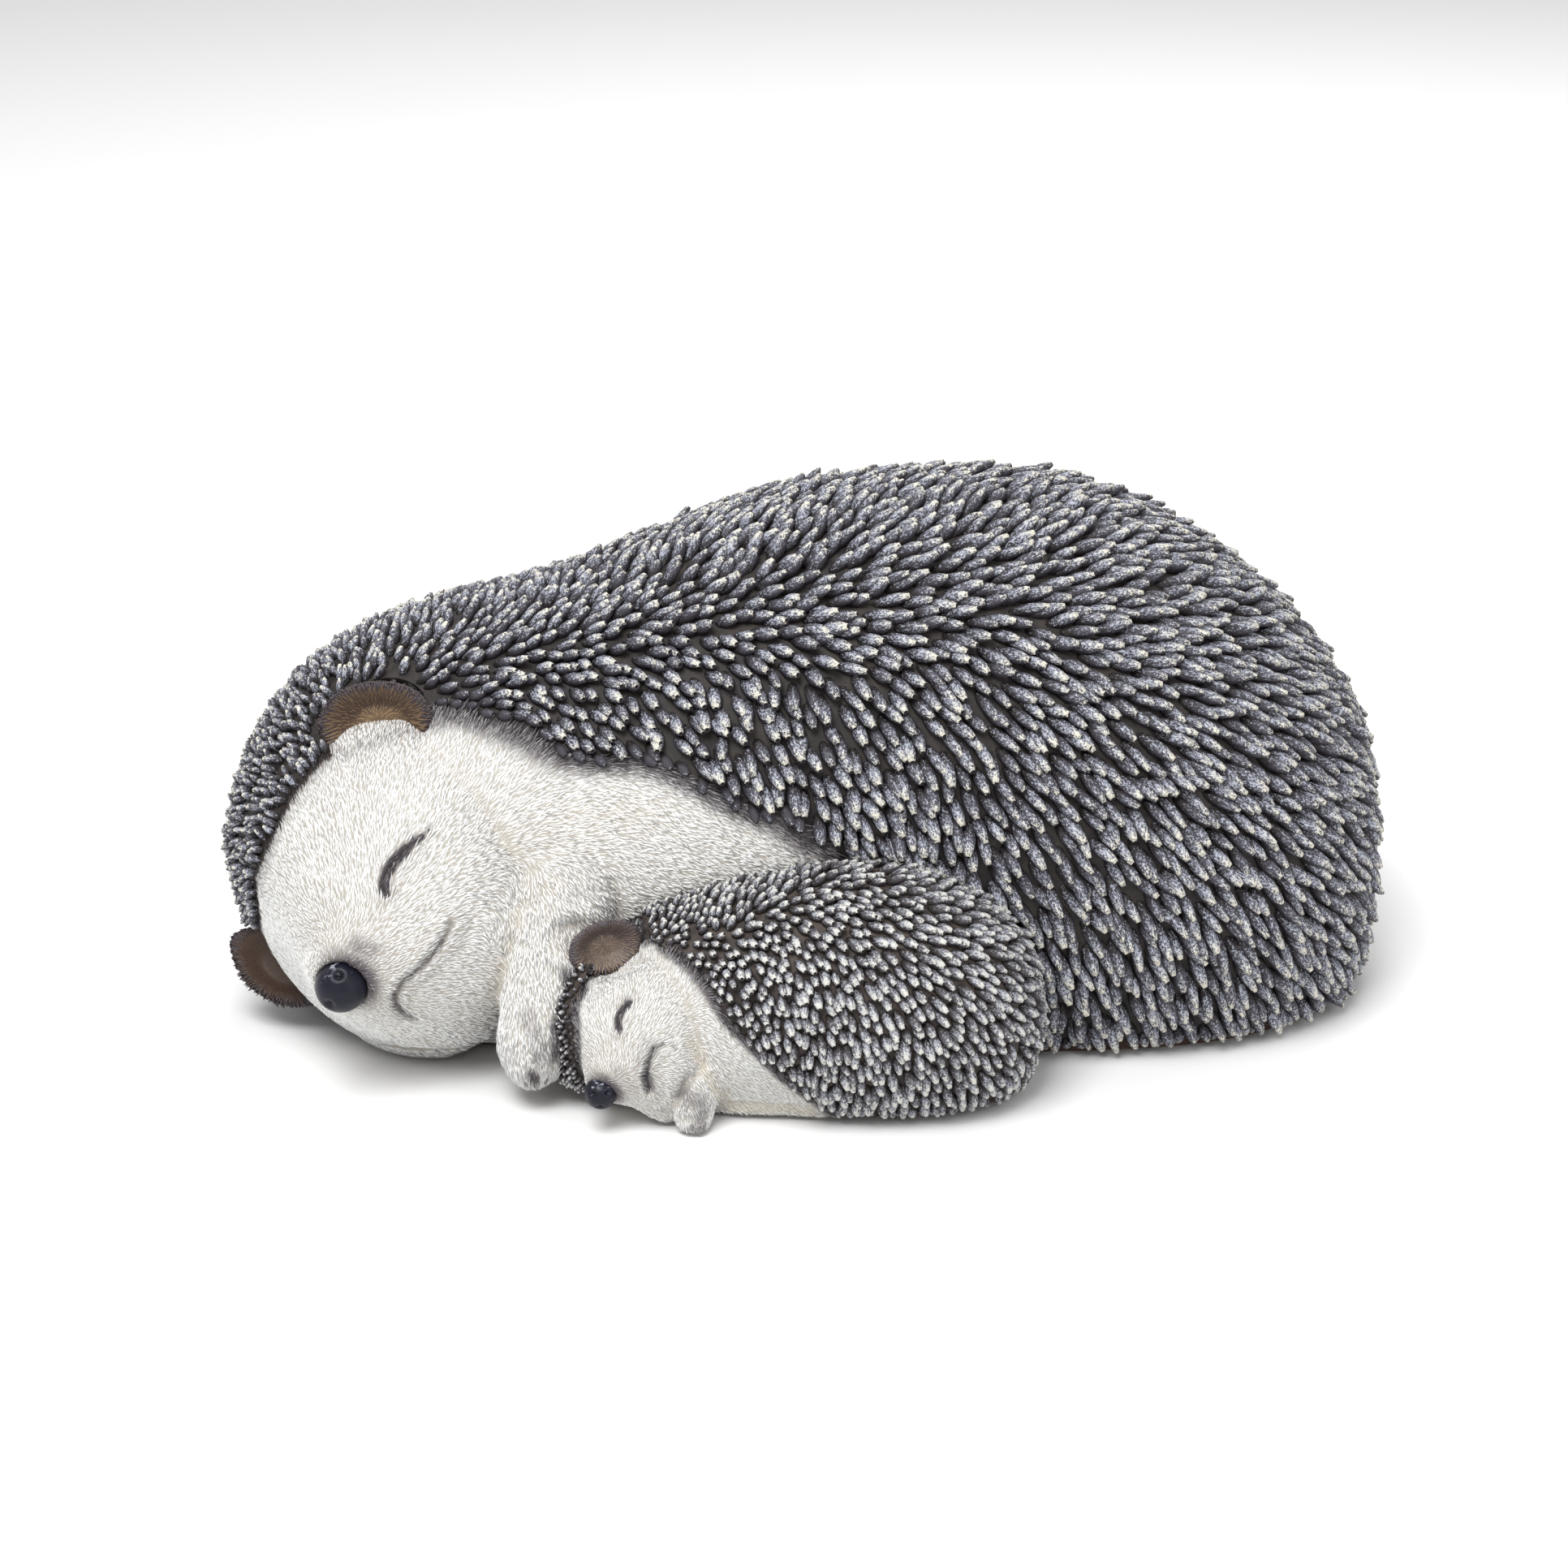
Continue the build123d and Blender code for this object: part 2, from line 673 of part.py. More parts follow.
def quill_places(form, pitch, height, droop, is_clear):
    """Places for quills on a body: on its skin, lying back towards +X and drooping, clear of all else."""
    reach = height / tan(radians(quill_lean))
    places = []
    for point, outwards in skin_spots(form, pitch):
        flow = Vector(1, 0, -droop)
        flow = (flow - outwards * flow.dot(outwards)).normalized()
        tip = point + flow * reach + outwards * height
        if is_clear(point) and is_clear(tip) and is_clear((point + tip) * 0.5):
            places.append(Plane(origin=point, x_dir=flow, z_dir=outwards))
    return places


def lock():
    """One low lock of fur lying on a flat skin and pointing along X."""
    half_length = lock_length / 2
    with BuildPart() as wedge:
        for level, share, shift_share in ((0, 1, 0), (lock_height, lock_tip_share, lock_shift_share)):
            corners = ((half_length, 0), (0, lock_radius), (-half_length, 0), (0, -lock_radius))
            with BuildSketch(Plane.XY.offset(level)):
                with Locations((shift_share * lock_length, 0)):
                    Polygon(*[(x * share, y * share) for x, y in corners], align=None)
        loft(ruled=True)
    return wedge.part


def is_in_egg(point, margin):
    """Whether a point lies inside the swell of the chest, or within a margin of it."""
    away = point - on_mother(chest_share)
    along = away.X / (chest_half_length + margin)
    across = Vector(0, away.Y, away.Z).length / (chest_radius + margin)
    return along**2 + across**2 < 1


def is_in_body(point, margin):
    """Whether a point lies inside the mother's body, or within a margin of it."""
    return is_within(point, Plane.YZ, mother_ends_shares, mother_station_shares, mother_sizes, margin)


def is_in_head(point, margin):
    """Whether a point lies inside the mother's head, or within a margin of it."""
    return is_within(point, head_plane, head_ends_shares, head_station_shares, head_sizes, margin)


def is_in_fur_panel(point):
    """Whether a point lies below the upper border of the mother's white fur, clear of the quills above it."""
    return is_below(point, mother_border, Vector(0, 0, 0), fur_back_share * coat_depth, -quill_gap)


def is_clear_on_fur(point):
    """Whether a point beside the mother's face or chest is clear of her arm, ears, nose, creases and young."""
    way = on_mother(paw_share) - on_mother(shoulder_share)
    arm_plane = Plane(origin=on_mother(shoulder_share), z_dir=way)
    margin = lock_height + lock_gap
    bodies = (
        (arm_plane, limb_ends_shares, limb_station_shares, (arm_width, arm_width, way.length), margin),
        (baby_plane, baby_ends_shares, baby_station_shares, baby_sizes, baby_quill_height + margin),
        (baby_head_plane, head_ends_shares, head_station_shares, baby_head_sizes, margin),
    )
    balls = (
        (on_mother(near_ear_share), ear_radius),
        (on_mother(far_ear_share), far_ear_radius),
        (on_baby(baby_ear_share), baby_ear_radius),
        (nose_middle, nose_radius),
    )
    carved = [on_head(head_plane, head_sizes, share) for share in (*eye_shares, *mouth_shares, *chin_shares)]
    return (
        point.Z > base_thickness + margin
        and not any(is_within(point, *body) for body in bodies)
        and all((point - middle).length > radius + margin for middle, radius in balls)
        and all((point - place).length > lock_radius + margin for place in carved)
    )


def lock_places(form, flow_at, is_open):
    """Places for locks on a form's skin, each pointing along the fur's flow, clear of all else."""
    places = []
    for point, outwards in skin_spots(form, lock_pitch):
        flow = flow_at(point)
        flow = (flow - outwards * flow.dot(outwards)).normalized()
        half = flow * (lock_length / 2)
        if all(is_clear_on_fur(spot) and is_open(spot) for spot in (point - half, point, point + half)):
            places.append(Plane(origin=point, x_dir=flow, z_dir=outwards))
    return places


crown_places = [
    place
    for place in quill_places(mother_form, crown_quill_pitch, crown_quill_height, mother_droop_share, is_clear_on_mother)
    if place.origin.X < crown_end_share * coat_length
]
body_places = [
    place
    for place in quill_places(mother_form, back_quill_pitch, back_quill_height, mother_droop_share, is_clear_on_mother)
    if place.origin.X > crown_end_share * coat_length + back_quill_radius
]
rump_places = [place for place in body_places if place.origin.X > rump_start_share * coat_length]
trunk_places = [place for place in body_places if place.origin.X <= rump_start_share * coat_length]
back_places = [place for place in trunk_places if place.origin.Z > flank_height_share * coat_height]
flank_places = [place for place in trunk_places if place.origin.Z <= flank_height_share * coat_height]
baby_places = quill_places(baby_form, baby_quill_pitch, baby_quill_height, baby_droop_share, is_clear_on_baby)

crown_quill = quill(crown_quill_radius, crown_quill_height)
back_quill = quill(back_quill_radius, back_quill_height)
baby_quill = quill(baby_quill_radius, baby_quill_height)

with BuildPart() as mother_crown_quills:
    add([crown_quill.moved(place.location) for place in crown_places])
mother_crown_quills.part.label = "mother_crown_quills"
export_step(mother_crown_quills.part, "parts/mother_crown_quills.step")

with BuildPart() as mother_back_quills:
    add([back_quill.moved(place.location) for place in back_places])
mother_back_quills.part.label = "mother_back_quills"
export_step(mother_back_quills.part, "parts/mother_back_quills.step")

with BuildPart() as mother_flank_quills:
    add([back_quill.moved(place.location) for place in flank_places])
mother_flank_quills.part.label = "mother_flank_quills"
export_step(mother_flank_quills.part, "parts/mother_flank_quills.step")

with BuildPart() as mother_rump_quills:
    add([back_quill.moved(place.location) for place in rump_places])
mother_rump_quills.part.label = "mother_rump_quills"
export_step(mother_rump_quills.part, "parts/mother_rump_quills.step")

with BuildPart() as baby_quills:
    add([baby_quill.moved(place.location) for place in baby_places])
baby_quills.part.label = "baby_quills"
export_step(baby_quills.part, "parts/baby_quills.step")

# The locks flow away from the nose on her face, and back and down on her chest
lock_margin = lock_height + lock_gap
face_locks = lock_places(
    head_form,
    lambda spot: spot - nose_middle,
    lambda spot: not is_in_egg(spot, lock_gap) and not is_in_body(spot, lock_margin),
)
chest_locks = lock_places(
    chest_form,
    lambda spot: Vector(1, 0, -mother_droop_share),
    lambda spot: is_in_fur_panel(spot) and not is_in_head(spot, lock_margin) and not is_in_body(spot, lock_gap),
)
side_locks = lock_places(
    mother_form,
    lambda spot: Vector(1, 0, -mother_droop_share),
    lambda spot: is_in_fur_panel(spot) and not is_in_head(spot, lock_margin) and not is_in_egg(spot, lock_gap),
)
fur_lock = lock()

with BuildPart() as mother_fur_locks:
    add([fur_lock.moved(place.location) for place in face_locks + chest_locks + side_locks])
mother_fur_locks.part.label = "mother_fur_locks"
export_step(mother_fur_locks.part, "parts/mother_fur_locks.step")
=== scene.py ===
"""The dressed scene of a sleeping hedgehog and her young one, an ornament of cast and painted resin.

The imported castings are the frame. The quills, the carved fur, the ears, the noses, the claws and the
paint are made here.
"""
import logging
import math
from dataclasses import dataclass, field, replace
from enum import Enum
from typing import ClassVar

import bpy
import numpy as np
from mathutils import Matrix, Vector
from mathutils.bvhtree import BVHTree
from mathutils.kdtree import KDTree


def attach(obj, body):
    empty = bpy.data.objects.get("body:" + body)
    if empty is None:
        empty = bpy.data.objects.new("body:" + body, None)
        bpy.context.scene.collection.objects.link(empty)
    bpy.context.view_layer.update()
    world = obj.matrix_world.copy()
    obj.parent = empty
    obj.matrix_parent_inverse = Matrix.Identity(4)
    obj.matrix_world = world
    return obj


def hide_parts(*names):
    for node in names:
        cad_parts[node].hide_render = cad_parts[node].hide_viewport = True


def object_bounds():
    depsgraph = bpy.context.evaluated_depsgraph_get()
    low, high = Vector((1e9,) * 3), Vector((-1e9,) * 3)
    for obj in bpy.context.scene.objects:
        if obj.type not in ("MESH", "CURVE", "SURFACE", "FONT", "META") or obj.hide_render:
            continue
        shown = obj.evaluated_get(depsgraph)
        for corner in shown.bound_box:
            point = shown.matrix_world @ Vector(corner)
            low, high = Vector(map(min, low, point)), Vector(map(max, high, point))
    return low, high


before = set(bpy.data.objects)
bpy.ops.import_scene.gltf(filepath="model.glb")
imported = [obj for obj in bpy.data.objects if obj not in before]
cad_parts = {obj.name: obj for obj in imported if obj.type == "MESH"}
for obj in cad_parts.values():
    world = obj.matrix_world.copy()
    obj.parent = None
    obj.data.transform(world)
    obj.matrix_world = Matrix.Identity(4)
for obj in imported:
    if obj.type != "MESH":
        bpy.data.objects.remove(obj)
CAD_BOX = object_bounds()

LOG = logging.getLogger("hedgehogs")
MM = 0.001
BODY = "root"
PIECE_LIMIT = 190000
PHOTO_SIDE = 1932

# How far off the skin a ray starts that looks for the open air, and how steep it is at least.
OPEN_START = 0.4 * MM
OPEN_SLANT = 0.05

# What a paint reads inside the dimple of a quill's tip, where the height along the quill counts no more.
DIMPLE = -0.3

# Spots tried to the square of the gap, before they are thinned out.
QUILL_TRIES, STRAND_TRIES, RIDGE_TRIES = 3.6, 3.2, 3.0

# How much copies differ, from least to most, as shares of the size. The sway is in degrees, turns in radians.
QUILL_LENGTHS, QUILL_WIDTHS, QUILL_BENDS, QUILL_FLATS = (0.82, 1.18), (0.88, 1.14), (-0.10, 0.02), (0.9, 1.05)
STRAND_LENGTHS, STRAND_WIDTHS, STRAND_BENDS = (0.75, 1.3), (0.8, 1.2), (-0.07, -0.01)
RIDGE_LENGTHS, RIDGE_WIDTHS, RIDGE_BENDS = (0.7, 1.3), (0.8, 1.2), (-0.12, -0.04)
QUILL_SWAY, STRAND_TURN, RIDGE_TURN = 4.0, 0.20, 0.16

# How thick strands and ridges are, as a share of their width.
STRAND_FLAT, RIDGE_FLAT = 0.62, 0.5

# How deep a copy's root is let into the skin, as a share of its radius.
QUILL_ROOT, STRAND_ROOT = 0.35, 0.18

# How low a skin may face and still carry quills or strands, and how near the floor they start.
QUILL_FACING, STRAND_FACING = -0.75, -0.8
FLOOR_ROOM = 0.9 * MM

# How far past the castings' box quills may reach.
BOX_ROOM = 4 * MM

# Quills that cover fur stay off what faces the back by more than this, along Y.
BACK_FACING = 0.3

# How far the base is drawn in along X and Y.
BASE_SHRINK = (0.985, 0.955)

# Fur below this height is let down to the base, and in front of this line it is drawn out by its hem.
HEM_TOP = 5 * MM
HEM_FRONT = -60 * MM

# How near points of a casting are merged, and how far the fur skin is swollen before it is remeshed.
WELD = 0.002 * MM
SWELL = 0.35 * MM

Colour = tuple[float, float, float]
Pixel = tuple[float, float]
Stroke = tuple[float, float, float]
Triple = tuple[float, float, float]
Ring = tuple[float, float]
Outline = tuple[Pixel, ...]

# Height and radius of each ring, as shares of the length and the radius.
QUILL_RINGS: list[Ring] = [(-0.08, 0.60), (0.16, 0.88), (0.45, 1.0), (0.70, 0.88), (0.88, 0.60), (1.0, 0.37)]
QUILL_HOLE: list[Ring] = [(0.985, 0.21), (0.90, 0.14)]
STRAND_RINGS: list[Ring] = [(-0.04, 0.4), (0.35, 1.0), (1.0, 0.12)]
RIDGE_RINGS: list[Ring] = [(-0.04, 0.35), (0.24, 0.95), (0.66, 0.78), (1.0, 0.1)]
CLAW_RINGS: list[Ring] = [(-0.1, 0.8), (0.1, 1.0), (0.5, 0.8), (0.85, 0.4), (1.0, 0.12)]


class Slot(Enum):
    """The record's material slots."""

    GREY_QUILL = "grey_quill"
    CREAM_QUILL = "cream_quill"
    WHITE_FUR = "white_fur"
    NOSE = "nose_gloss"
    EAR = "brown_ear"
    CLAW = "grey_claw"
    BASE = "brown_base"


def placed(name: str, data: bpy.types.ID) -> bpy.types.Object:
    """Makes an object of a mesh, a light or a camera and adds it to the scene."""
    made = bpy.data.objects.new(name, data)
    bpy.context.scene.collection.objects.link(made)
    return made


@dataclass(frozen=True)
class Viewpoint:
    """Where the photograph was taken from, in metres and in its own pixels."""

    target: Triple = (-0.0054, 0.0, 0.050)
    distance: float = 0.970
    elevation: float = math.radians(20)
    lens: float = 90.0
    sensor: float = 36.0
    width: int = PHOTO_SIDE

    @property
    def forward(self) -> Vector:
        """The direction that the camera looks in."""
        return Vector((0.0, math.cos(self.elevation), -math.sin(self.elevation)))

    @property
    def up(self) -> Vector:
        """The upward direction of the picture."""
        return Vector((0.0, math.sin(self.elevation), math.cos(self.elevation)))

    @property
    def right(self) -> Vector:
        """The rightward direction of the picture."""
        return Vector((1.0, 0.0, 0.0))

    @property
    def place(self) -> Vector:
        """Where the camera stands."""
        return Vector(self.target) - self.forward * self.distance

    def ray(self, pixel: Pixel) -> Vector:
        """The direction from the camera through a pixel.

        Args:
            pixel: Across and down, in the photograph.

        Returns:
            A unit vector.
        """
        focal = self.lens / self.sensor * self.width
        across = pixel[0] - self.width / 2
        down = pixel[1] - self.width / 2
        return (self.forward * focal + self.right * across - self.up * down).normalized()

    def pixels(self, points: np.ndarray) -> np.ndarray:
        """Where points are seen in the photograph.

        Args:
            points: Places in metres.

        Returns:
            Across and down for each.
        """
        away = points - np.array(self.place)
        scale = self.lens / self.sensor * self.width / (away @ np.array(self.forward))
        across = self.width / 2 + (away @ np.array(self.right)) * scale
        down = self.width / 2 - (away @ np.array(self.up)) * scale
        return np.stack([across, down], axis=1)

    def within(self, points: np.ndarray, outlines: tuple[Outline, ...]) -> np.ndarray:
        """Whether each point is seen inside one of the outlines, given by their corners."""
        across, down = self.pixels(points).T
        found = np.zeros(len(points), bool)
        for outline in outlines:
            inside = np.zeros(len(points), bool)
            for (ax, ay), (bx, by) in zip(outline, outline[1:] + outline[:1]):
                if ay != by:
                    crosses = (ay > down) != (by > down)
                    inside ^= crosses & (across < ax + (down - ay) * (bx - ax) / (by - ay))
            found |= inside
        return found

    def build(self) -> None:
        """Adds the camera and makes it the scene's own."""
        camera = bpy.data.cameras.new("photo_camera")
        camera.lens = self.lens
        camera.sensor_width = self.sensor
        camera.clip_start = 0.01
        camera.clip_end = 20.0
        holder = placed("photo_camera", camera)
        holder.location = self.place
        holder.rotation_euler = self.forward.to_track_quat("-Z", "Y").to_euler()
        bpy.context.scene.camera = holder


class Surface:
    """The triangles of one or more meshes, with a search tree."""

    def __init__(self, pieces: list[bpy.types.Object]) -> None:
        """Gathers the triangles.

        Args:
            pieces: Mesh objects that sit at the origin.
        """
        points, corners, start = [], [], 0
        for piece in pieces:
            mesh = piece.data
            mesh.calc_loop_triangles()
            place = np.empty(len(mesh.vertices) * 3)
            mesh.vertices.foreach_get("co", place)
            three = np.empty(len(mesh.loop_triangles) * 3, int)
            mesh.loop_triangles.foreach_get("vertices", three)
            points.append(place.reshape(-1, 3))
            corners.append(three.reshape(-1, 3) + start)
            start += len(mesh.vertices)
        self.points = np.concatenate(points)
        self.corners = np.concatenate(corners)
        self.tree = BVHTree.FromPolygons(self.points.tolist(), self.corners.tolist())

    def under(self, view: Viewpoint, pixel: Pixel) -> tuple[Vector, Vector]:
        """The point of the surface that a pixel shows, or the nearest one to its ray.

        Args:
            view: The photograph's viewpoint.
            pixel: Across and down, in the photograph.

        Returns:
            The point and the surface's normal there.
        """
        way = view.ray(pixel)
        point, normal, _, _ = self.tree.ray_cast(view.place, way)
        if point is None:
            middle = view.place + way * view.distance
            point, normal, _, _ = self.tree.find_nearest(middle)
        return point, normal

    def line(self, view: Viewpoint, pixels: Outline) -> np.ndarray:
        """The places of the surface that some pixels show."""
        return np.array([self.under(view, pixel)[0] for pixel in pixels])

    def apart(self, points: np.ndarray) -> np.ndarray:
        """How far each point is from the surface."""
        return np.array([self.tree.find_nearest(Vector(point))[3] for point in points])

    def candidates(self, rng: np.random.Generator, per_area: float) -> tuple[np.ndarray, np.ndarray]:
        """Random points of the surface with their normals.

        Args:
            rng: The source of the random draws.
            per_area: Points to the square metre.

        Returns:
            Points and unit normals.
        """
        a, b, c = (self.points[self.corners[:, k]] for k in range(3))
        cross = np.cross(b - a, c - a)
        twice = np.linalg.norm(cross, axis=1)
        count = int(twice.sum() / 2 * per_area)
        chosen = rng.choice(len(twice), count, p=twice / twice.sum())
        u, v = rng.random(count), rng.random(count)
        over = u + v > 1
        u[over], v[over] = 1 - u[over], 1 - v[over]
        spot = a[chosen] + (b - a)[chosen] * u[:, None] + (c - a)[chosen] * v[:, None]
        return spot, cross[chosen] / twice[chosen][:, None]


ESCAPES = [
    Vector(way).normalized()
    for way in (
        (0, -1, 0.35), (0, 0, 1), (-1, 0, 0.3), (1, 0, 0.3), (0, 1, 0.3), (-1, -1, 0.5),
        (1, -1, 0.5), (-1, 1, 0.5), (1, 1, 0.5), (-0.5, -1, 0.1), (0.5, -1, 0.1), (0, -1, 0.02),
    )
]


def is_open(blockers: Surface, point: Vector, normal: Vector) -> bool:
    """Whether a spot of the skin can be seen from somewhere outside.

    Args:
        blockers: All that can hide it.
        point: The spot.
        normal: The skin's normal there.

    Returns:
        True if one of the ways out is free.
    """
    start = point + normal * OPEN_START
    return any(
        way.dot(normal) > OPEN_SLANT and blockers.tree.ray_cast(start, way)[0] is None
        for way in ESCAPES
    )


def point_tree(points: np.ndarray) -> KDTree:
    """A search tree of places."""
    tree = KDTree(len(points))
    for index, point in enumerate(points):
        tree.insert(point, index)
    tree.balance()
    return tree


def thinned(
    points: np.ndarray, gaps: np.ndarray, ways: np.ndarray | None = None, stretch: float = 1.0
) -> np.ndarray:
    """Keeps points that stand at least their own gap apart.

    Args:
        points: Places in random order.
        gaps: The gap that each keeps.
        ways: Unit vectors along which the gap is longer, if it is.
        stretch: How much longer it is along them, and shorter across.

    Returns:
        The indices that are kept.
    """
    tree = point_tree(points)
    alive = np.ones(len(points), bool)
    kept = []
    for index in range(len(points)):
        if alive[index]:
            kept.append(index)
            found = tree.find_range(points[index], gaps[index] * stretch)
            others = np.array([place[1] for place in found], int)
            if ways is not None:
                apart = points[others] - points[index]
                along = apart @ ways[index]
                across = (apart ** 2).sum(1) - along ** 2
                others = others[(along / stretch) ** 2 + across * stretch ** 2 < gaps[index] ** 2]
            alive[others] = False
            alive[index] = False
    return np.array(kept, int)


def planted(
    points: np.ndarray, normals: np.ndarray, gaps: np.ndarray, blockers: Surface,
    ways: np.ndarray | None = None, stretch: float = 1.0,
) -> tuple[np.ndarray, np.ndarray]:
    """Thins out the spots of a skin and keeps those that can be seen from outside.

    Args:
        points: Places in random order.
        normals: The skin's normals there.
        gaps: The gap that each keeps.
        blockers: All that can hide a spot.
        ways: Unit vectors along which the gap is longer, if it is.
        stretch: How much longer it is along them, and shorter across.

    Returns:
        The places and normals that are kept.
    """
    kept = thinned(points, gaps, ways, stretch)
    points, normals = points[kept], normals[kept]
    seen = np.array([is_open(blockers, Vector(p), Vector(n)) for p, n in zip(points, normals)])
    return points[seen], normals[seen]


def to_lines(points: np.ndarray, line: np.ndarray) -> np.ndarray:
    """Distances from points to a line of straight runs, or to one point.

    Args:
        points: Places.
        line: The line's own points, one or more.

    Returns:
        One distance for each place.
    """
    best = np.linalg.norm(points - line[0], axis=1)
    for a, b in zip(line[:-1], line[1:]):
        run = b - a
        share = np.clip((points - a) @ run / max(run @ run, 1e-18), 0, 1)
        best = np.minimum(best, np.linalg.norm(points - a - share[:, None] * run, axis=1))
    return best


def eased(values: np.ndarray, low: float, high: float) -> np.ndarray:
    """A smooth step from 0 at low to 1 at high."""
    t = np.clip((values - low) / (high - low), 0, 1)
    return t * t * (3 - 2 * t)


def unit(vectors: np.ndarray) -> np.ndarray:
    """The same vectors with a length of one."""
    return vectors / np.maximum(np.linalg.norm(vectors, axis=1, keepdims=True), 1e-12)


def flattened(vectors: np.ndarray, normals: np.ndarray) -> np.ndarray:
    """What is left of vectors square to the normals."""
    return vectors - (vectors * normals).sum(1)[:, None] * normals


def turned(ways: np.ndarray, normals: np.ndarray, angles: np.ndarray) -> np.ndarray:
    """Directions along a skin, turned about its normals by angles in radians."""
    return ways * np.cos(angles)[:, None] + np.cross(normals, ways) * np.sin(angles)[:, None]


def raised(ways: np.ndarray, normals: np.ndarray, degrees: np.ndarray) -> tuple[np.ndarray, np.ndarray]:
    """Raises directions off a skin.

    Args:
        ways: Unit vectors along the skin.
        normals: Its unit normals.
        degrees: How far each one is raised.

    Returns:
        The raised directions, and unit vectors square to them on their outer side.
    """
    angles = np.radians(degrees)
    axes = ways * np.cos(angles)[:, None] + normals * np.sin(angles)[:, None]
    return axes, unit(flattened(normals, axes))


def degrees_off(ways: np.ndarray, way: Triple) -> np.ndarray:
    """The angle between each unit vector and one direction."""
    return np.degrees(np.arccos(np.clip(ways @ np.array(Vector(way).normalized()), -1, 1)))


class Flow:
    """Directions over a surface, spread between given strokes."""

    GRAZING = 0.3
    SOFTENING = 2 * MM
    BATCH = 4000

    def __init__(self) -> None:
        """Starts with no strokes."""
        self.places: list[np.ndarray] = []
        self.ways: list[np.ndarray] = []

    def by_eye(self, surface: Surface, view: Viewpoint, strokes: list[Stroke]) -> "Flow":
        """Adds strokes as they are seen in the photograph.

        Args:
            surface: What the strokes lie on.
            view: The photograph's viewpoint.
            strokes: Across, down, and degrees above the rightward direction.

        Returns:
            This flow.
        """
        for across, down, degrees in strokes:
            point, normal = surface.under(view, (across, down))
            angle = math.radians(degrees)
            seen = view.right * math.cos(angle) + view.up * math.sin(angle)
            sight = view.ray((across, down))
            facing = sight.dot(normal)
            if abs(facing) > self.GRAZING:
                way = seen - sight * (seen.dot(normal) / facing)
            else:
                way = seen - normal * seen.dot(normal)
            self.places.append(np.array(point))
            self.ways.append(np.array(way.normalized()))
        return self

    def by_hand(self, strokes: list[tuple[Triple, Triple]]) -> "Flow":
        """Adds strokes of the hidden sides.

        Args:
            strokes: Places in millimetres, with directions.

        Returns:
            This flow.
        """
        for place, way in strokes:
            self.places.append(np.array(place) * MM)
            self.ways.append(np.array(Vector(way).normalized()))
        return self

    def at(self, points: np.ndarray, normals: np.ndarray, power: float = 3.0) -> np.ndarray:
        """The direction along the surface at each point.

        Args:
            points: Places on the surface.
            normals: Unit normals there.
            power: How sharply the nearest strokes win.

        Returns:
            Unit vectors.
        """
        places, ways = np.array(self.places), np.array(self.ways)
        total = np.zeros_like(points)
        for start in range(0, len(points), self.BATCH):
            part = slice(start, start + self.BATCH)
            apart = np.linalg.norm(points[part, None] - places[None], axis=2) + self.SOFTENING
            total[part] = (apart ** -power) @ ways
        return unit(flattened(total, normals))


class Value:
    """A socket that takes part in arithmetic."""

    def __init__(self, paint: "Paint", socket: bpy.types.NodeSocket) -> None:
        """Wraps a socket of a paint."""
        self.paint = paint
        self.socket = socket

    def _maths(self, operation: str, first: object, second: object) -> "Value":
        """Adds one Math node."""
        node = self.paint.node("ShaderNodeMath", {"operation": operation}, {0: first, 1: second})
        return Value(self.paint, node.outputs[0])

    def __add__(self, other: object) -> "Value":
        """The sum."""
        return self._maths("ADD", self, other)

    def __sub__(self, other: object) -> "Value":
        """The difference."""
        return self._maths("SUBTRACT", self, other)

    def __rsub__(self, other: object) -> "Value":
        """The difference, the other way."""
        return self._maths("SUBTRACT", other, self)

    def __mul__(self, other: object) -> "Value":
        """The product."""
        return self._maths("MULTIPLY", self, other)

    __radd__ = __add__
    __rmul__ = __mul__

    def step(self, low: float, high: float) -> "Value":
        """A smooth step from 0 at low to 1 at high."""
        node = self.paint.node(
            "ShaderNodeMapRange",
            {"interpolation_type": "SMOOTHSTEP"},
            {"Value": self, "From Min": low, "From Max": high},
        )
        return Value(self.paint, node.outputs[0])


Shade = Value | Colour | float


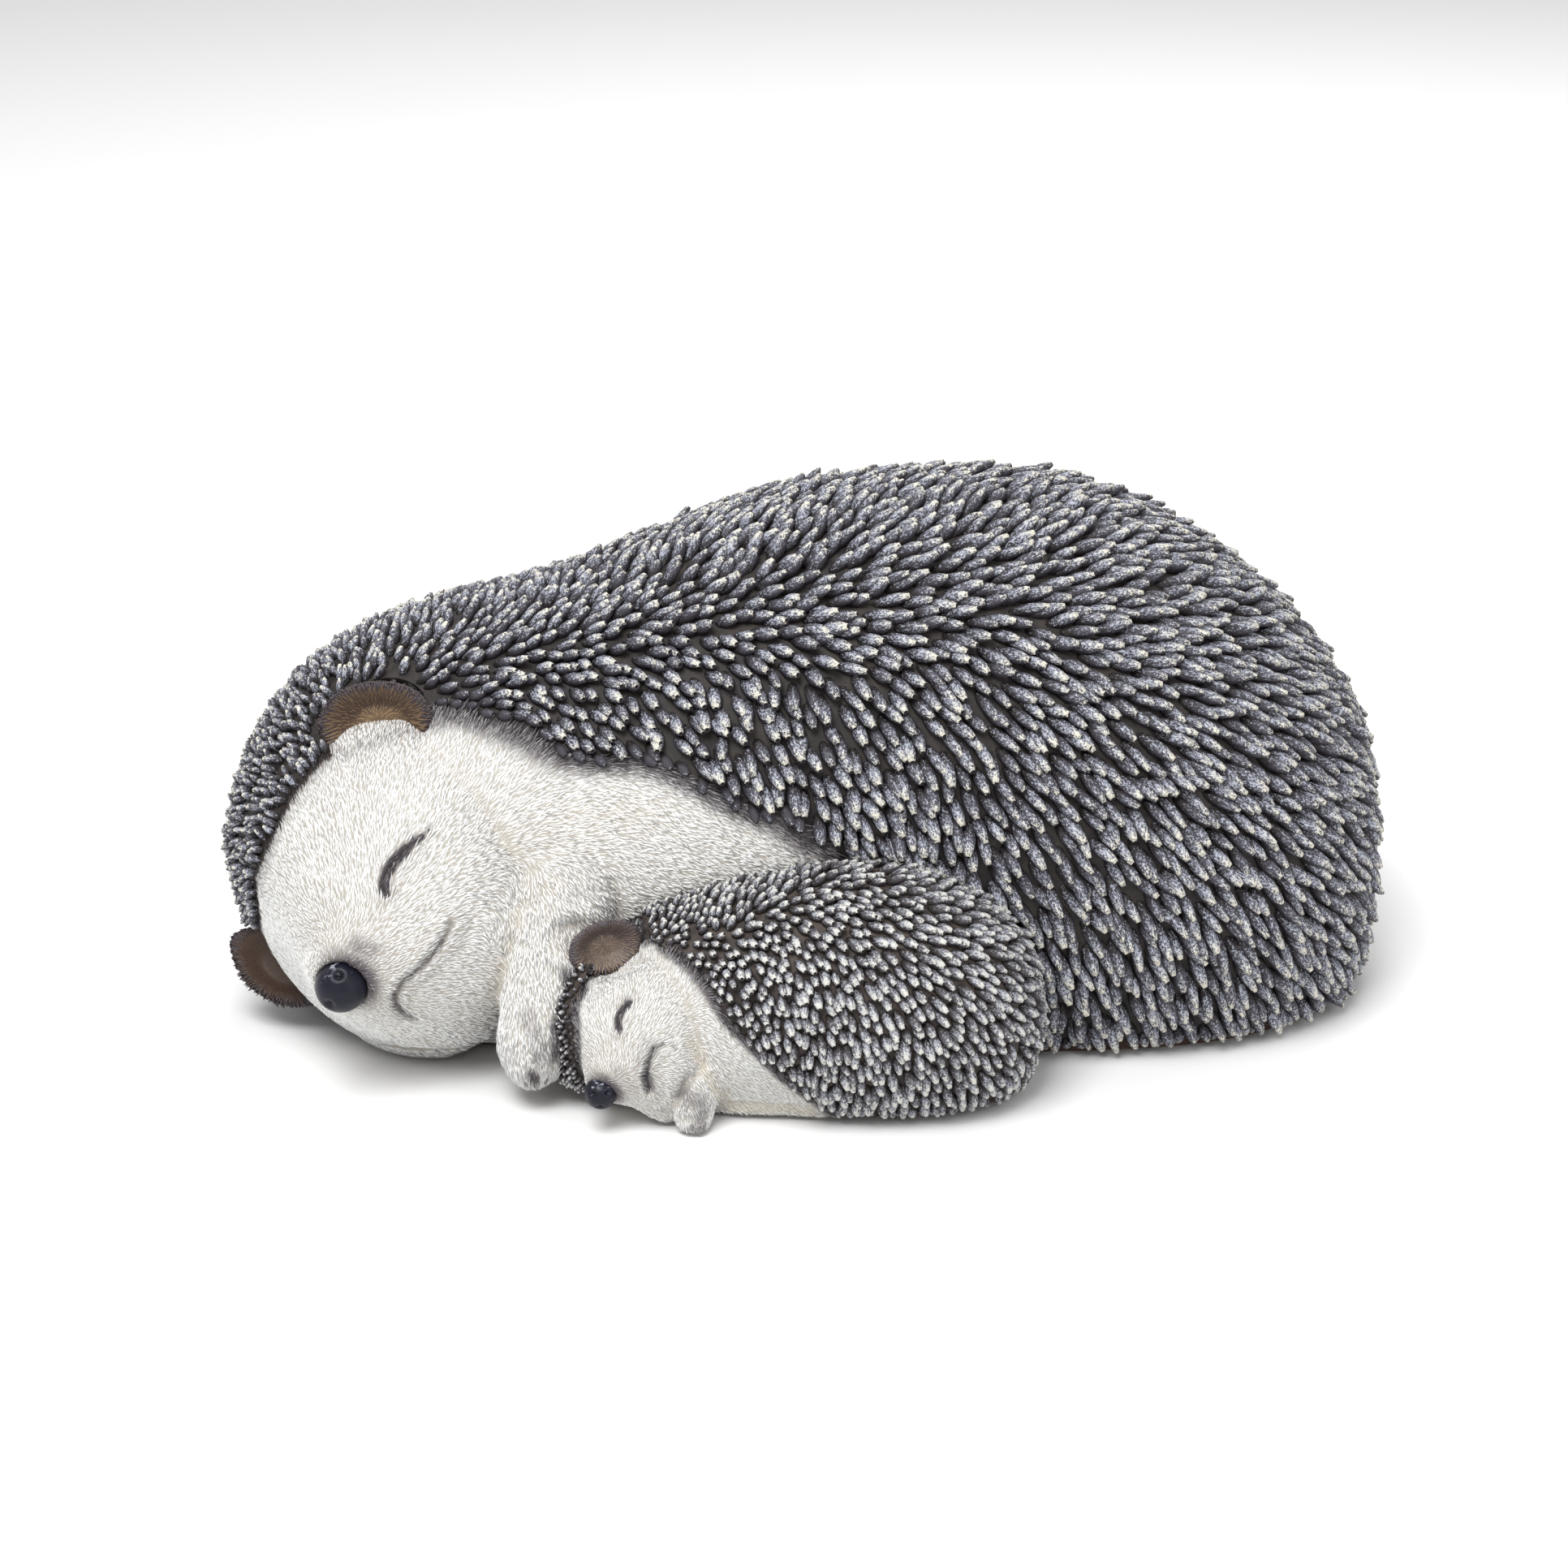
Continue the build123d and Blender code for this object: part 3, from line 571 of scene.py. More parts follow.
class Paint:
    """A material that is built node by node."""

    def __init__(self, name: str) -> None:
        """Makes an empty material with its main shader.

        Args:
            name: The material's name.
        """
        self.material = bpy.data.materials.new(name)
        self.material.use_nodes = True
        self.tree = self.material.node_tree
        self.main = self.tree.nodes["Principled BSDF"]

    def node(
        self, kind: str, settings: dict[str, object], inputs: dict[str | int, object]
    ) -> bpy.types.Node:
        """Adds a node.

        Args:
            kind: The node's type.
            settings: Its options, set first.
            inputs: Values or links, by socket.

        Returns:
            The node.
        """
        node = self.tree.nodes.new(kind)
        for name, setting in settings.items():
            setattr(node, name, setting)
        for name, given in inputs.items():
            self.feed(node.inputs[name], given)
        return node

    def feed(self, socket: bpy.types.NodeSocket, given: object) -> None:
        """Links or sets one socket."""
        if isinstance(given, Value):
            self.tree.links.new(given.socket, socket)
        elif socket.type == "RGBA":
            socket.default_value = (*given, 1.0)
        else:
            socket.default_value = given

    def attribute(self, name: str) -> Value:
        """A number kept at the mesh's points."""
        return Value(self, self.node("ShaderNodeAttribute", {"attribute_name": name}, {}).outputs["Fac"])

    def grain(self, name: str) -> Value:
        """A place kept at the mesh's points."""
        return Value(self, self.node("ShaderNodeAttribute", {"attribute_name": name}, {}).outputs["Vector"])

    def place(self) -> Value:
        """The place on the object."""
        return Value(self, self.node("ShaderNodeTexCoord", {}, {}).outputs["Object"])

    def stretched(self, vector: Value, scale: Triple) -> Value:
        """A place with its three lengths scaled."""
        node = self.node("ShaderNodeVectorMath", {"operation": "MULTIPLY"}, {0: vector, 1: scale})
        return Value(self, node.outputs[0])

    def noise(self, vector: Value, scale: float, detail: float = 3.0, rough: float = 0.55) -> Value:
        """Cloudy noise from 0 to 1.

        Args:
            vector: Where it is read.
            scale: Clouds to the unit of length.
            detail: Finer layers.
            rough: Their strength.

        Returns:
            The noise.
        """
        inputs = {"Vector": vector, "Scale": scale, "Detail": detail, "Roughness": rough}
        return Value(self, self.node("ShaderNodeTexNoise", {}, inputs).outputs["Fac"])

    def mix(self, share: Value | float, first: Shade, second: Shade) -> Value:
        """Blends two colours."""
        node = self.node("ShaderNodeMix", {"data_type": "RGBA"}, {0: share, 6: first, 7: second})
        return Value(self, node.outputs[2])

    def bump(self, height: Value, strength: float, depth: float) -> Value:
        """Turns a height into a bent normal."""
        inputs = {"Height": height, "Strength": strength, "Distance": depth}
        return Value(self, self.node("ShaderNodeBump", {}, inputs).outputs["Normal"])

    def finish(self, **sockets: object) -> bpy.types.Material:
        """Feeds the main shader.

        Args:
            sockets: Its inputs, with spaces as underscores.

        Returns:
            The material.
        """
        for name, given in sockets.items():
            self.feed(self.main.inputs[name.replace("_", " ")], given)
        return self.material


@dataclass(frozen=True)
class QuillPaint:
    """Dark stain, near-black painted shade at the roots and in the tip hollows, dry-brushed flecks on what
    stands out, and pale tips.
    """

    name: str = "quill_paint"
    # The near-black gap colour is painted shade, at the roots between the quills and in their tip hollows.
    gap: Colour = (0.016, 0.012, 0.012)
    stain: Colour = (0.046, 0.042, 0.052)
    brushed: Colour = (0.45, 0.48, 0.58)
    tip: Colour = (0.74, 0.70, 0.57)
    cover: float = 0.50
    tip_start: float = 0.70
    flecked: float = 1.0

    def build(self) -> bpy.types.Material:
        """Makes the material."""
        p = Paint(self.name)
        grain, along, lift = p.grain("grain"), p.attribute("along"), p.attribute("lift")
        # shade is painted shade on quills near the fur's edge: fewer pale flecks and pale tips there.
        pick, shade = p.attribute("pick"), p.attribute("shade")
        flecks = p.noise(p.stretched(grain, (1.0, 1.0, 0.62)), 2.1, 4.0, 0.72)
        fine = p.noise(p.stretched(grain, (1.0, 1.0, 0.45)), 6.0, 2.0, 0.6)
        patchy = (flecks - 0.5) * (1.6 * self.flecked) + (fine - 0.5) * self.flecked
        caught = patchy + lift * 0.62 + along * 0.36 + pick * 0.16 - shade * 0.30
        brushed = caught.step(1.06 - self.cover * 0.5, 1.32 - self.cover * 0.5)
        # Painted shade: each quill goes to the gap colour towards its root.
        dark = p.mix((along + patchy * 0.3).step(0.15, 0.60), self.gap, self.stain)
        body = p.mix(brushed * 0.90, dark, self.brushed)
        reach = along * 0.80 + patchy * 0.9 + lift * 0.38 + pick * 0.14 - shade * 0.35
        warm = reach.step(self.tip_start + 0.36, self.tip_start + 0.56)
        painted = p.mix(warm * 0.92, body, self.tip)
        # Painted shade: the hollow in each quill's tip takes the gap colour.
        tip_hollow_shade = along.step(-0.12, 0.02)
        colour = p.mix(tip_hollow_shade, self.gap, painted)
        grooves = flecks * 0.6 + fine * 0.5
        normal = p.bump(grooves, 0.55, 0.00035)
        roughness = 0.62 - brushed * 0.06
        return p.finish(Base_Color=colour, Roughness=roughness, Normal=normal, Specular_IOR_Level=0.35)


@dataclass(frozen=True)
class CloudPaint:
    """A stain of two tones that run into each other like clouds, as on the coat's skin, claws and base."""

    name: str
    dark: Colour
    pale: Colour
    scale: float
    detail: float
    span: tuple[float, float]
    roughness: float
    strength: float
    depth: float

    def build(self) -> bpy.types.Material:
        """Makes the material."""
        p = Paint(self.name)
        cloud = p.noise(p.place(), self.scale, self.detail)
        colour = p.mix(cloud.step(*self.span), self.dark, self.pale)
        normal = p.bump(cloud, self.strength, self.depth)
        return p.finish(Base_Color=colour, Roughness=cloud * 0.2 + self.roughness, Normal=normal)


COAT_SKIN = CloudPaint(
    name="coat_skin", dark=(0.011, 0.009, 0.008), pale=(0.034, 0.026, 0.022), scale=350.0, detail=4.0,
    span=(0.35, 0.68), roughness=0.6, strength=0.5, depth=0.0006,
)
BABY_SKIN = replace(COAT_SKIN, name="baby_coat_skin", dark=(0.026, 0.019, 0.016), pale=(0.070, 0.053, 0.043))
CLAW_PAINT = CloudPaint(
    name="claw_paint", dark=(0.20, 0.18, 0.18), pale=(0.52, 0.50, 0.47), scale=900.0, detail=3.0,
    span=(0.5, 0.75), roughness=0.35, strength=0.3, depth=0.0002,
)
BASE_PAINT = CloudPaint(
    name="base_paint", dark=(0.060, 0.032, 0.025), pale=(0.15, 0.085, 0.06), scale=260.0, detail=4.0,
    span=(0.4, 0.75), roughness=0.6, strength=0.4, depth=0.0005,
)


@dataclass(frozen=True)
class FurPaint:
    """Cream-white fur, beige painted shade in its grooves, and grey and ochre where the tones say, the ochre
    airbrushed, the grey partly airbrushed and partly painted shade.
    """

    name: str = "fur_paint"
    white: Colour = (0.83, 0.83, 0.82)
    # Painted shade in the grooves and down the strands' low sides.
    beige: Colour = (0.29, 0.255, 0.205)
    ash: Colour = (0.085, 0.072, 0.080)
    ochre: Colour = (0.50, 0.38, 0.20)
    stain: Colour = (0.035, 0.027, 0.024)

    def build(self) -> bpy.types.Material:
        """Makes the material."""
        p = Paint(self.name)
        place = p.place()
        along, pick, high = p.attribute("along"), p.attribute("pick"), p.attribute("lift")
        # The ash tone is partly airbrushed tint and partly painted shade, in creases, under the ear and along
        # the quills' edge.
        ash, ochre = p.attribute("ash"), p.attribute("ochre")
        cloud = p.noise(place, 60.0, 3.0)
        fine = p.noise(place, 1500.0, 3.0, 0.6)
        # Painted shade: beige where the skin lies low between strands, at their roots and on their sides.
        groove = 1.0 - (high * 0.85 + along * 0.20 + fine * 0.25).step(0.20, 0.66)
        base = p.mix(groove * 0.85 + cloud * 0.10, self.white, self.beige)
        warm = p.mix((ochre + ochre * (fine - 0.5) * 1.2).step(0.05, 1.0) * 0.75, base, self.ochre)
        dusted = ash + ash * (fine - 0.5) * 0.9 + ash * (pick - 0.5) * 0.4 + ash * groove * 0.2
        shade = dusted.step(0.0, 1.0)
        colour = p.mix(ash.step(1.2, 1.5), p.mix(shade, warm, self.ash), self.stain)
        normal = p.bump(fine, 0.35, 0.0002)
        roughness = 0.60 - high * 0.08
        return p.finish(Base_Color=colour, Roughness=roughness, Normal=normal, Specular_IOR_Level=0.35)


@dataclass(frozen=True)
class EarPaint:
    """Purple-brown outside and on the rim, ochre in the cup, with painted light on the ridges' crests and
    painted shade down their sides and in the cup towards its rim and upper side.
    """

    name: str = "ear_paint"
    edge: Colour = (0.032, 0.023, 0.026)
    ridge: Colour = (0.125, 0.095, 0.098)
    # Painted shade in the cup, towards its rim and upper side and down the ridges' sides.
    deep: Colour = (0.060, 0.034, 0.022)
    cup: Colour = (0.34, 0.225, 0.115)

    def build(self) -> bpy.types.Material:
        """Makes the material."""
        p = Paint(self.name)
        fine = p.noise(p.place(), 900.0, 3.0, 0.6)
        cup = (p.attribute("ochre") + (fine - 0.5) * 0.35).step(0.2, 0.8)
        high = p.attribute("lift")
        # Painted light and shade on the outside: the ridges' crests take the lighter ridge colour and their
        # sides the dark edge colour.
        outer = p.mix((high + fine * 0.5).step(0.7, 1.3), self.edge, self.ridge)
        # Painted shade: the cup darkens towards its rim, its upper side and the ridges' sides.
        golden = (1.0 - p.attribute("rim")) * 0.55 + high * 0.75 + (fine - 0.5) * 0.5
        inner = p.mix(golden.step(0.30, 1.25), self.deep, self.cup)
        colour = p.mix(cup, outer, inner)
        normal = p.bump(fine, 0.4, 0.0003)
        return p.finish(Base_Color=colour, Roughness=0.55, Normal=normal, Specular_IOR_Level=0.4)


@dataclass(frozen=True)
class NoseGloss:
    """Navy-black gloss with pale scuffs on what faces up, partly worn paint and partly a painted highlight.
    """

    name: str = "nose_gloss"
    black: Colour = (0.0060, 0.0060, 0.011)
    # The pale colour of the scuffs and of the painted highlight.
    scuff_and_highlight: Colour = (0.36, 0.38, 0.44)

    def build(self) -> bpy.types.Material:
        """Makes the material."""
        p = Paint(self.name)
        place = p.place()
        scuffs = p.noise(p.stretched(place, (1.0, 1.0, 2.2)), 330.0, 5.0, 0.7)
        cloud = p.noise(place, 160.0, 2.0)
        # Pale scuffs and painted highlight, on what faces up.
        scuff_and_highlight = (scuffs * p.attribute("lift") + cloud * 0.12).step(0.60, 0.68)
        navy = tuple(channel * 2.4 for channel in self.black)
        colour = p.mix(scuff_and_highlight * 0.8, p.mix(cloud, self.black, navy), self.scuff_and_highlight)
        roughness, normal = 0.36 + scuff_and_highlight * 0.3, p.bump(scuffs, 0.25, 0.0004)
        return p.finish(Base_Color=colour, Roughness=roughness, Normal=normal, Specular_IOR_Level=0.22)


@dataclass(frozen=True)
class FloorPaint:
    """The pale sweep that the ornament stands on."""

    name: str = "floor_paint"
    white: Colour = (0.86, 0.86, 0.86)

    def build(self) -> bpy.types.Material:
        """Makes the material."""
        p = Paint(self.name)
        cloud = p.noise(p.place(), 8.0, 2.0)
        colour = p.mix(cloud, self.white, tuple(channel * 0.985 for channel in self.white))
        return p.finish(Base_Color=colour, Roughness=0.85, Specular_IOR_Level=0.1)


def dress(piece: bpy.types.Object, material: bpy.types.Material) -> None:
    """Gives a piece its only material."""
    piece.data.materials.clear()
    piece.data.materials.append(material)


def keep_values(piece: bpy.types.Object, **values: np.ndarray) -> None:
    """Keeps numbers or places at a mesh's points.

    Args:
        piece: The mesh object.
        values: One array for each name, flat for numbers and of three columns for places.
    """
    for name, array in values.items():
        is_place = array.ndim == 2
        kind = "FLOAT_VECTOR" if is_place else "FLOAT"
        attribute = piece.data.attributes.get(name) or piece.data.attributes.new(name, kind, "POINT")
        attribute.data.foreach_set("vector" if is_place else "value", array.astype(np.float32).ravel())


def mesh_points(piece: bpy.types.Object) -> np.ndarray:
    """The places of a mesh's points."""
    place = np.empty(len(piece.data.vertices) * 3)
    piece.data.vertices.foreach_get("co", place)
    return place.reshape(-1, 3)


def mesh_normals(piece: bpy.types.Object) -> np.ndarray:
    """The normals at a mesh's points."""
    normal = np.empty(len(piece.data.vertices) * 3)
    piece.data.vertex_normals.foreach_get("vector", normal)
    return normal.reshape(-1, 3)


def move_points(piece: bpy.types.Object, points: np.ndarray) -> None:
    """Writes new places to a mesh's points."""
    piece.data.vertices.foreach_set("co", points.ravel())
    piece.data.update()


def shade_smooth(piece: bpy.types.Object) -> None:
    """Shades all faces of a piece smoothly."""
    piece.data.polygons.foreach_set("use_smooth", np.ones(len(piece.data.polygons), bool))


def sort_faces(piece: bpy.types.Object) -> None:
    """Puts a piece's faces in the order of their points.

    Blender's operators leave them in an order that changes from run to run, and seeded draws on them would
    change with it.

    Args:
        piece: A mesh object without paint or kept values.
    """
    faces = []
    for face in piece.data.polygons:
        corners = list(face.vertices)
        first = corners.index(min(corners))
        faces.append(corners[first:] + corners[:first])
    mesh = bpy.data.meshes.new(piece.name)
    mesh.from_pydata(mesh_points(piece).tolist(), [], sorted(faces))
    unsorted = piece.data
    piece.data = mesh
    bpy.data.meshes.remove(unsorted)


def select_only(piece: bpy.types.Object) -> None:
    """Deselects everything and selects one piece."""
    bpy.ops.object.select_all(action="DESELECT")
    piece.select_set(True)
    bpy.context.view_layer.objects.active = piece


@dataclass
class Pattern:
    """A small shape of unit radius and unit length that is copied many times."""

    points: np.ndarray
    faces: list[list[int]]
    along: np.ndarray
    lift: np.ndarray

    @property
    def triangles(self) -> int:
        """How many triangles one copy has."""
        return sum(len(face) - 2 for face in self.faces)


def drawn_out(sides: int, rings: list[Ring], hole: list[Ring] | None = None) -> Pattern:
    """Draws a disc out through rings to a tip, closed or with a hole.

    Args:
        sides: Corners of each ring.
        rings: Height and radius of each ring, from the root.
        hole: Height and radius of the hole's rings, or None for a closed point.

    Returns:
        The shape.
    """
    bpy.ops.object.select_all(action="DESELECT")
    height, radius = rings[0]
    bpy.ops.mesh.primitive_circle_add(vertices=sides, radius=radius, fill_type="NGON", location=(0, 0, 0))
    bpy.ops.object.mode_set(mode="EDIT")
    bpy.ops.mesh.select_all(action="SELECT")
    bpy.ops.transform.translate(value=(0, 0, height))
    for next_height, next_radius in rings[1:] + (hole or []):
        bpy.ops.mesh.extrude_region_move(TRANSFORM_OT_translate={"value": (0, 0, next_height - height)})
        share = next_radius / radius
        bpy.ops.transform.resize(value=(share, share, 1), center_override=(0, 0, next_height))
        height, radius = next_height, next_radius
    if hole is None:
        bpy.ops.mesh.merge(type="CENTER")
    bpy.ops.mesh.select_all(action="SELECT")
    bpy.ops.mesh.normals_make_consistent(inside=False)
    bpy.ops.object.mode_set(mode="OBJECT")
    made = bpy.context.active_object
    sort_faces(made)
    points = mesh_points(made)
    faces = [list(face.vertices) for face in made.data.polygons]
    mesh = made.data
    bpy.data.objects.remove(made)
    bpy.data.meshes.remove(mesh)
    across = np.hypot(points[:, 0], points[:, 1])
    # How far round to a copy's outer side a point is; the paints use it for dry-brushing and for painted
    # shade on the low sides.
    lift = np.where(across > 1e-6, 0.5 + 0.5 * points[:, 1] / np.maximum(across, 1e-6), 0.8)
    along = points[:, 2].copy()
    if hole is not None:
        along[across < hole[0][1] + 1e-4] = DIMPLE
    return Pattern(points, faces, along, lift)


@dataclass
class Growth:
    """Many copies of one pattern, each with its own place, lean and size."""

    DRIFT: ClassVar[float] = 40.0

    pattern: Pattern
    roots: np.ndarray
    ways: np.ndarray
    ups: np.ndarray
    radii: np.ndarray
    lengths: np.ndarray
    bends: np.ndarray
    flats: np.ndarray
    extra: dict[str, np.ndarray] = field(default_factory=dict)

    def grow(
        self, name: str, material: bpy.types.Material, rng: np.random.Generator
    ) -> list[bpy.types.Object]:
        """Makes the meshes, split so that none is too heavy.

        Args:
            name: The pieces' name, to which a number is added.
            material: What they are painted with.
            rng: The source of the random draws.

        Returns:
            The pieces.
        """
        most = PIECE_LIMIT // self.pattern.triangles
        count = len(self.roots)
        parts = max(1, math.ceil(count / most))
        order = np.argsort(self.roots[:, 0], kind="stable")
        pieces = []
        for number, chosen in enumerate(np.array_split(order, parts)):
            piece = self._piece(f"{name}_{number + 1}" if parts > 1 else name, chosen, rng)
            dress(piece, material)
            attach(piece, BODY)
            pieces.append(piece)
            LOG.info("%s: %d copies", piece.name, len(chosen))
        return pieces

    def _piece(self, name: str, chosen: np.ndarray, rng: np.random.Generator) -> bpy.types.Object:
        """Makes one mesh of the chosen copies."""
        across, upward, outward = self.pattern.points.T
        size, count = len(across), len(chosen)
        radii, lengths = self.radii[chosen][:, None], self.lengths[chosen][:, None]
        ways, ups = self.ways[chosen], self.ups[chosen]
        sides = np.cross(ups, ways)
        x = across * radii
        y = upward * radii * self.flats[chosen][:, None]
        z = outward * lengths
        sag = self.bends[chosen][:, None] * outward ** 2 * lengths
        points = (
            self.roots[chosen][:, None]
            + sides[:, None] * x[..., None]
            + ups[:, None] * (y + sag)[..., None]
            + ways[:, None] * z[..., None]
        ).reshape(-1, 3)
        faces = self.pattern.faces
        loops = np.concatenate([np.array(face) for face in faces])
        counts = np.array([len(face) for face in faces])
        starts = np.concatenate([[0], np.cumsum(counts)[:-1]])
        step = np.arange(count)[:, None]
        mesh = bpy.data.meshes.new(name)
        mesh.vertices.add(size * count)
        mesh.vertices.foreach_set("co", points.ravel())
        mesh.loops.add(len(loops) * count)
        mesh.loops.foreach_set("vertex_index", (loops[None] + step * size).ravel())
        mesh.polygons.add(len(faces) * count)
        mesh.polygons.foreach_set("loop_start", (starts[None] + step * len(loops)).ravel())
        mesh.polygons.foreach_set("use_smooth", np.ones(len(faces) * count, bool))
        mesh.update(calc_edges=True)
        mesh.validate()
        piece = placed(name, mesh)
        drift = rng.random((count, 1, 3)) * self.DRIFT
        grain = np.stack([x, y, z], axis=2) / MM + drift
        values = {key: np.repeat(array[chosen], size) for key, array in self.extra.items()}
        keep_values(
            piece,
            along=np.tile(self.pattern.along, count),
            lift=np.tile(self.pattern.lift, count),
            pick=np.repeat(rng.random(count), size),
            grain=grain.reshape(-1, 3),
            **values,
        )
        return piece


@dataclass
class QuillCoat:
    """One animal's quills, grown from its packed coat.

    The gaps, lengths and radii in millimetres, the leans in degrees and the wildness in radians are given at
    stations along the body, from the head to the rump.
    """

    node: str
    replaced: tuple[str, ...]
    piece_name: str
    paint: QuillPaint
    slot: Slot
    strokes: list[Stroke]
    hidden_strokes: list[tuple[Triple, Triple]]
    stations: tuple[float, ...]
    gaps: tuple[float, ...]
    lengths: tuple[float, ...]
    radii: tuple[float, ...]
    leans: tuple[float, ...]
    wild: tuple[float, ...]
    floor_gap: float
    fur_reach: float
    seed: int
    bare: tuple[Outline, ...] = ()
    sides: int = 7
    stretch: float = 1.22

    def build(
        self, view: Viewpoint, blockers: Surface, fur: Surface, own: "FurSkin"
    ) -> list[bpy.types.Object]:
        """Grows the quills.

        Args:
            view: The photograph's viewpoint.
            blockers: The coats, fur skins and ears, which hide or stop quills.
            fur: The fur skins, from which the quills keep off.
            own: The animal's own fur, of which the quills cover some.

        Returns:
            The pieces.
        """
        rng = np.random.default_rng(self.seed)
        skin = Surface([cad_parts[self.node]])
        per_area = QUILL_TRIES / (min(self.gaps) * MM) ** 2
        points, normals = skin.candidates(rng, per_area)
        more, more_normals = own.surface.candidates(rng, per_area)
        covered = view.within(more, own.covered) & (more_normals[:, 1] < BACK_FACING)
        points = np.concatenate([points, more[covered]])
        normals = np.concatenate([normals, more_normals[covered]])
        order = rng.permutation(len(points))
        points, normals = points[order], normals[order]
        high_enough = (points[:, 2] > self.floor_gap * MM) & (normals[:, 2] > QUILL_FACING)
        stays = high_enough & ~view.within(points, self.bare)
        points, normals = points[stays], normals[stays]
        flow = Flow().by_eye(skin, view, self.strokes).by_hand(self.hidden_strokes)
        gaps = self._sized(points, self.gaps)
        points, normals = planted(points, normals, gaps, blockers, flow.at(points, normals), self.stretch)
        count = len(points)
        turn = rng.normal(0, 1, count) * self._between(points, self.wild)
        ways = turned(flow.at(points, normals), normals, turn)
        leans = self._between(points, self.leans) + rng.normal(0, QUILL_SWAY, count)
        axes, ups = raised(ways, normals, leans)
        lengths = self._sized(points, self.lengths) * rng.uniform(*QUILL_LENGTHS, count)
        radii = self._sized(points, self.radii) * rng.uniform(*QUILL_WIDTHS, count)
        over_fur = view.within(points, own.covered)
        lengths, radii, apart = self._fitted(points, normals, axes, lengths, radii, blockers, fur, over_fur)
        good = lengths > radii
        roots = points - normals * (radii * QUILL_ROOT)[:, None]
        # Painted shade: quills near the fur's edge are painted darker.
        shade = 1 - eased(apart, 0.1 * self.fur_reach * MM, 1.2 * self.fur_reach * MM)
        growth = Growth(
            drawn_out(self.sides, QUILL_RINGS, QUILL_HOLE),
            roots[good], axes[good], ups[good], radii[good], lengths[good],
            rng.uniform(*QUILL_BENDS, count)[good], rng.uniform(*QUILL_FLATS, count)[good],
            {"shade": shade[good]},
        )
        pieces = growth.grow(self.piece_name, self.paint.build(), rng)
        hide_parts(*self.replaced)
        return pieces

    def _between(self, points: np.ndarray, sizes: tuple[float, ...]) -> np.ndarray:
        """A size along the body, from the head to the rump."""
        return np.interp(points[:, 0] / MM, self.stations, sizes)

    def _sized(self, points: np.ndarray, sizes: tuple[float, ...]) -> np.ndarray:
        """The same in metres."""
        return self._between(points, sizes) * MM

    def _fitted(
        self, points: np.ndarray, normals: np.ndarray, axes: np.ndarray, lengths: np.ndarray,
        radii: np.ndarray, blockers: Surface, fur: Surface, over_fur: np.ndarray,
    ) -> tuple[np.ndarray, np.ndarray, np.ndarray]:
        """Shortens quills that would run into something, the floor or the edge of the box.

        Args:
            points: Where the quills stand.
            normals: The skin's normals there.
            axes: The directions that the quills point in.
            lengths: Their lengths before.
            radii: Their radii before.
            blockers: What stops them.
            fur: The fur skins.
            over_fur: Which of them cover fur and so don't keep off it.

        Returns:
            The lengths, the radii and each root's distance from the fur.
        """
        low, high = (np.array(corner) for corner in CAD_BOX)
        apart = fur.apart(points)
        for index, (point, axis) in enumerate(zip(points, axes)):
            start = Vector(point) + Vector(normals[index]) * float(radii[index] * 0.9)
            _, _, _, reach = blockers.tree.ray_cast(start, Vector(axis), float(lengths[index] * 1.15))
            if reach is not None:
                lengths[index] = min(lengths[index], reach * 0.8)
            drop = -axis[2] * lengths[index]
            if drop > 0:
                room = max(point[2] - FLOOR_ROOM - radii[index] * 0.4, 0.1 * MM)
                lengths[index] *= min(1.0, room / drop)
        tips = points + axes * lengths[:, None]
        over = np.maximum(tips - (high + BOX_ROOM), (low - BOX_ROOM) - tips).max(axis=1)
        lengths = np.where(over > 0, np.maximum(lengths - over * 1.2, lengths * 0.5), lengths)
        apart = np.where(over_fur, 6.0 * MM, apart)
        near = eased(apart, 0.16 * self.fur_reach * MM, self.fur_reach * MM)
        lengths = np.where(apart < 0.14 * self.fur_reach * MM, 0, lengths * (0.74 + 0.26 * near))
        return lengths, radii * (0.8 + 0.2 * near), apart


@dataclass(frozen=True)
class Smudge:
    """A soft painted stroke, used for airbrushed tint and for painted shade: pixels of the photograph, a
    width in millimetres, and how strong it is.
    """

    pixels: Outline
    width: float
    strength: float
    core: float = 0.0


def strongest(points: np.ndarray, smudges: tuple[Smudge, ...], lines: list[np.ndarray]) -> np.ndarray:
    """How strong the strongest of some smudges is at each point.

    Args:
        points: Places in metres.
        smudges: The strokes.
        lines: Where each stroke lies on the skin.

    Returns:
        One strength for each place.
    """
    best = np.zeros(len(points))
    for smudge, line in zip(smudges, lines):
        faded = eased(to_lines(points, line) / MM, smudge.core, smudge.width)
        best = np.maximum(best, smudge.strength * (1 - faded))
    return best


@dataclass(frozen=True)
class Crease:
    """A carved line: pixels of the photograph, its width and depth in millimetres, and the lip beside it."""

    pixels: Outline
    width: float
    depth: float
    lip: float = 0.0


@dataclass(frozen=True)
class Push:
    """A soft change of a skin's form round a spot, all in millimetres."""

    middle: Triple
    reach: float
    move: Triple
    scale: Triple = (1.0, 1.0, 1.0)

    def moved(self, points: np.ndarray) -> np.ndarray:
        """The points after the push, less and less of it towards its reach.

        Args:
            points: Places in metres.

        Returns:
            The new places.
        """
        out = points - np.array(self.middle) * MM
        share = 1 - eased(np.linalg.norm(out, axis=1), self.reach * 0.3 * MM, self.reach * MM)
        return points + share[:, None] * (np.array(self.move) * MM + out * (np.array(self.scale) - 1))


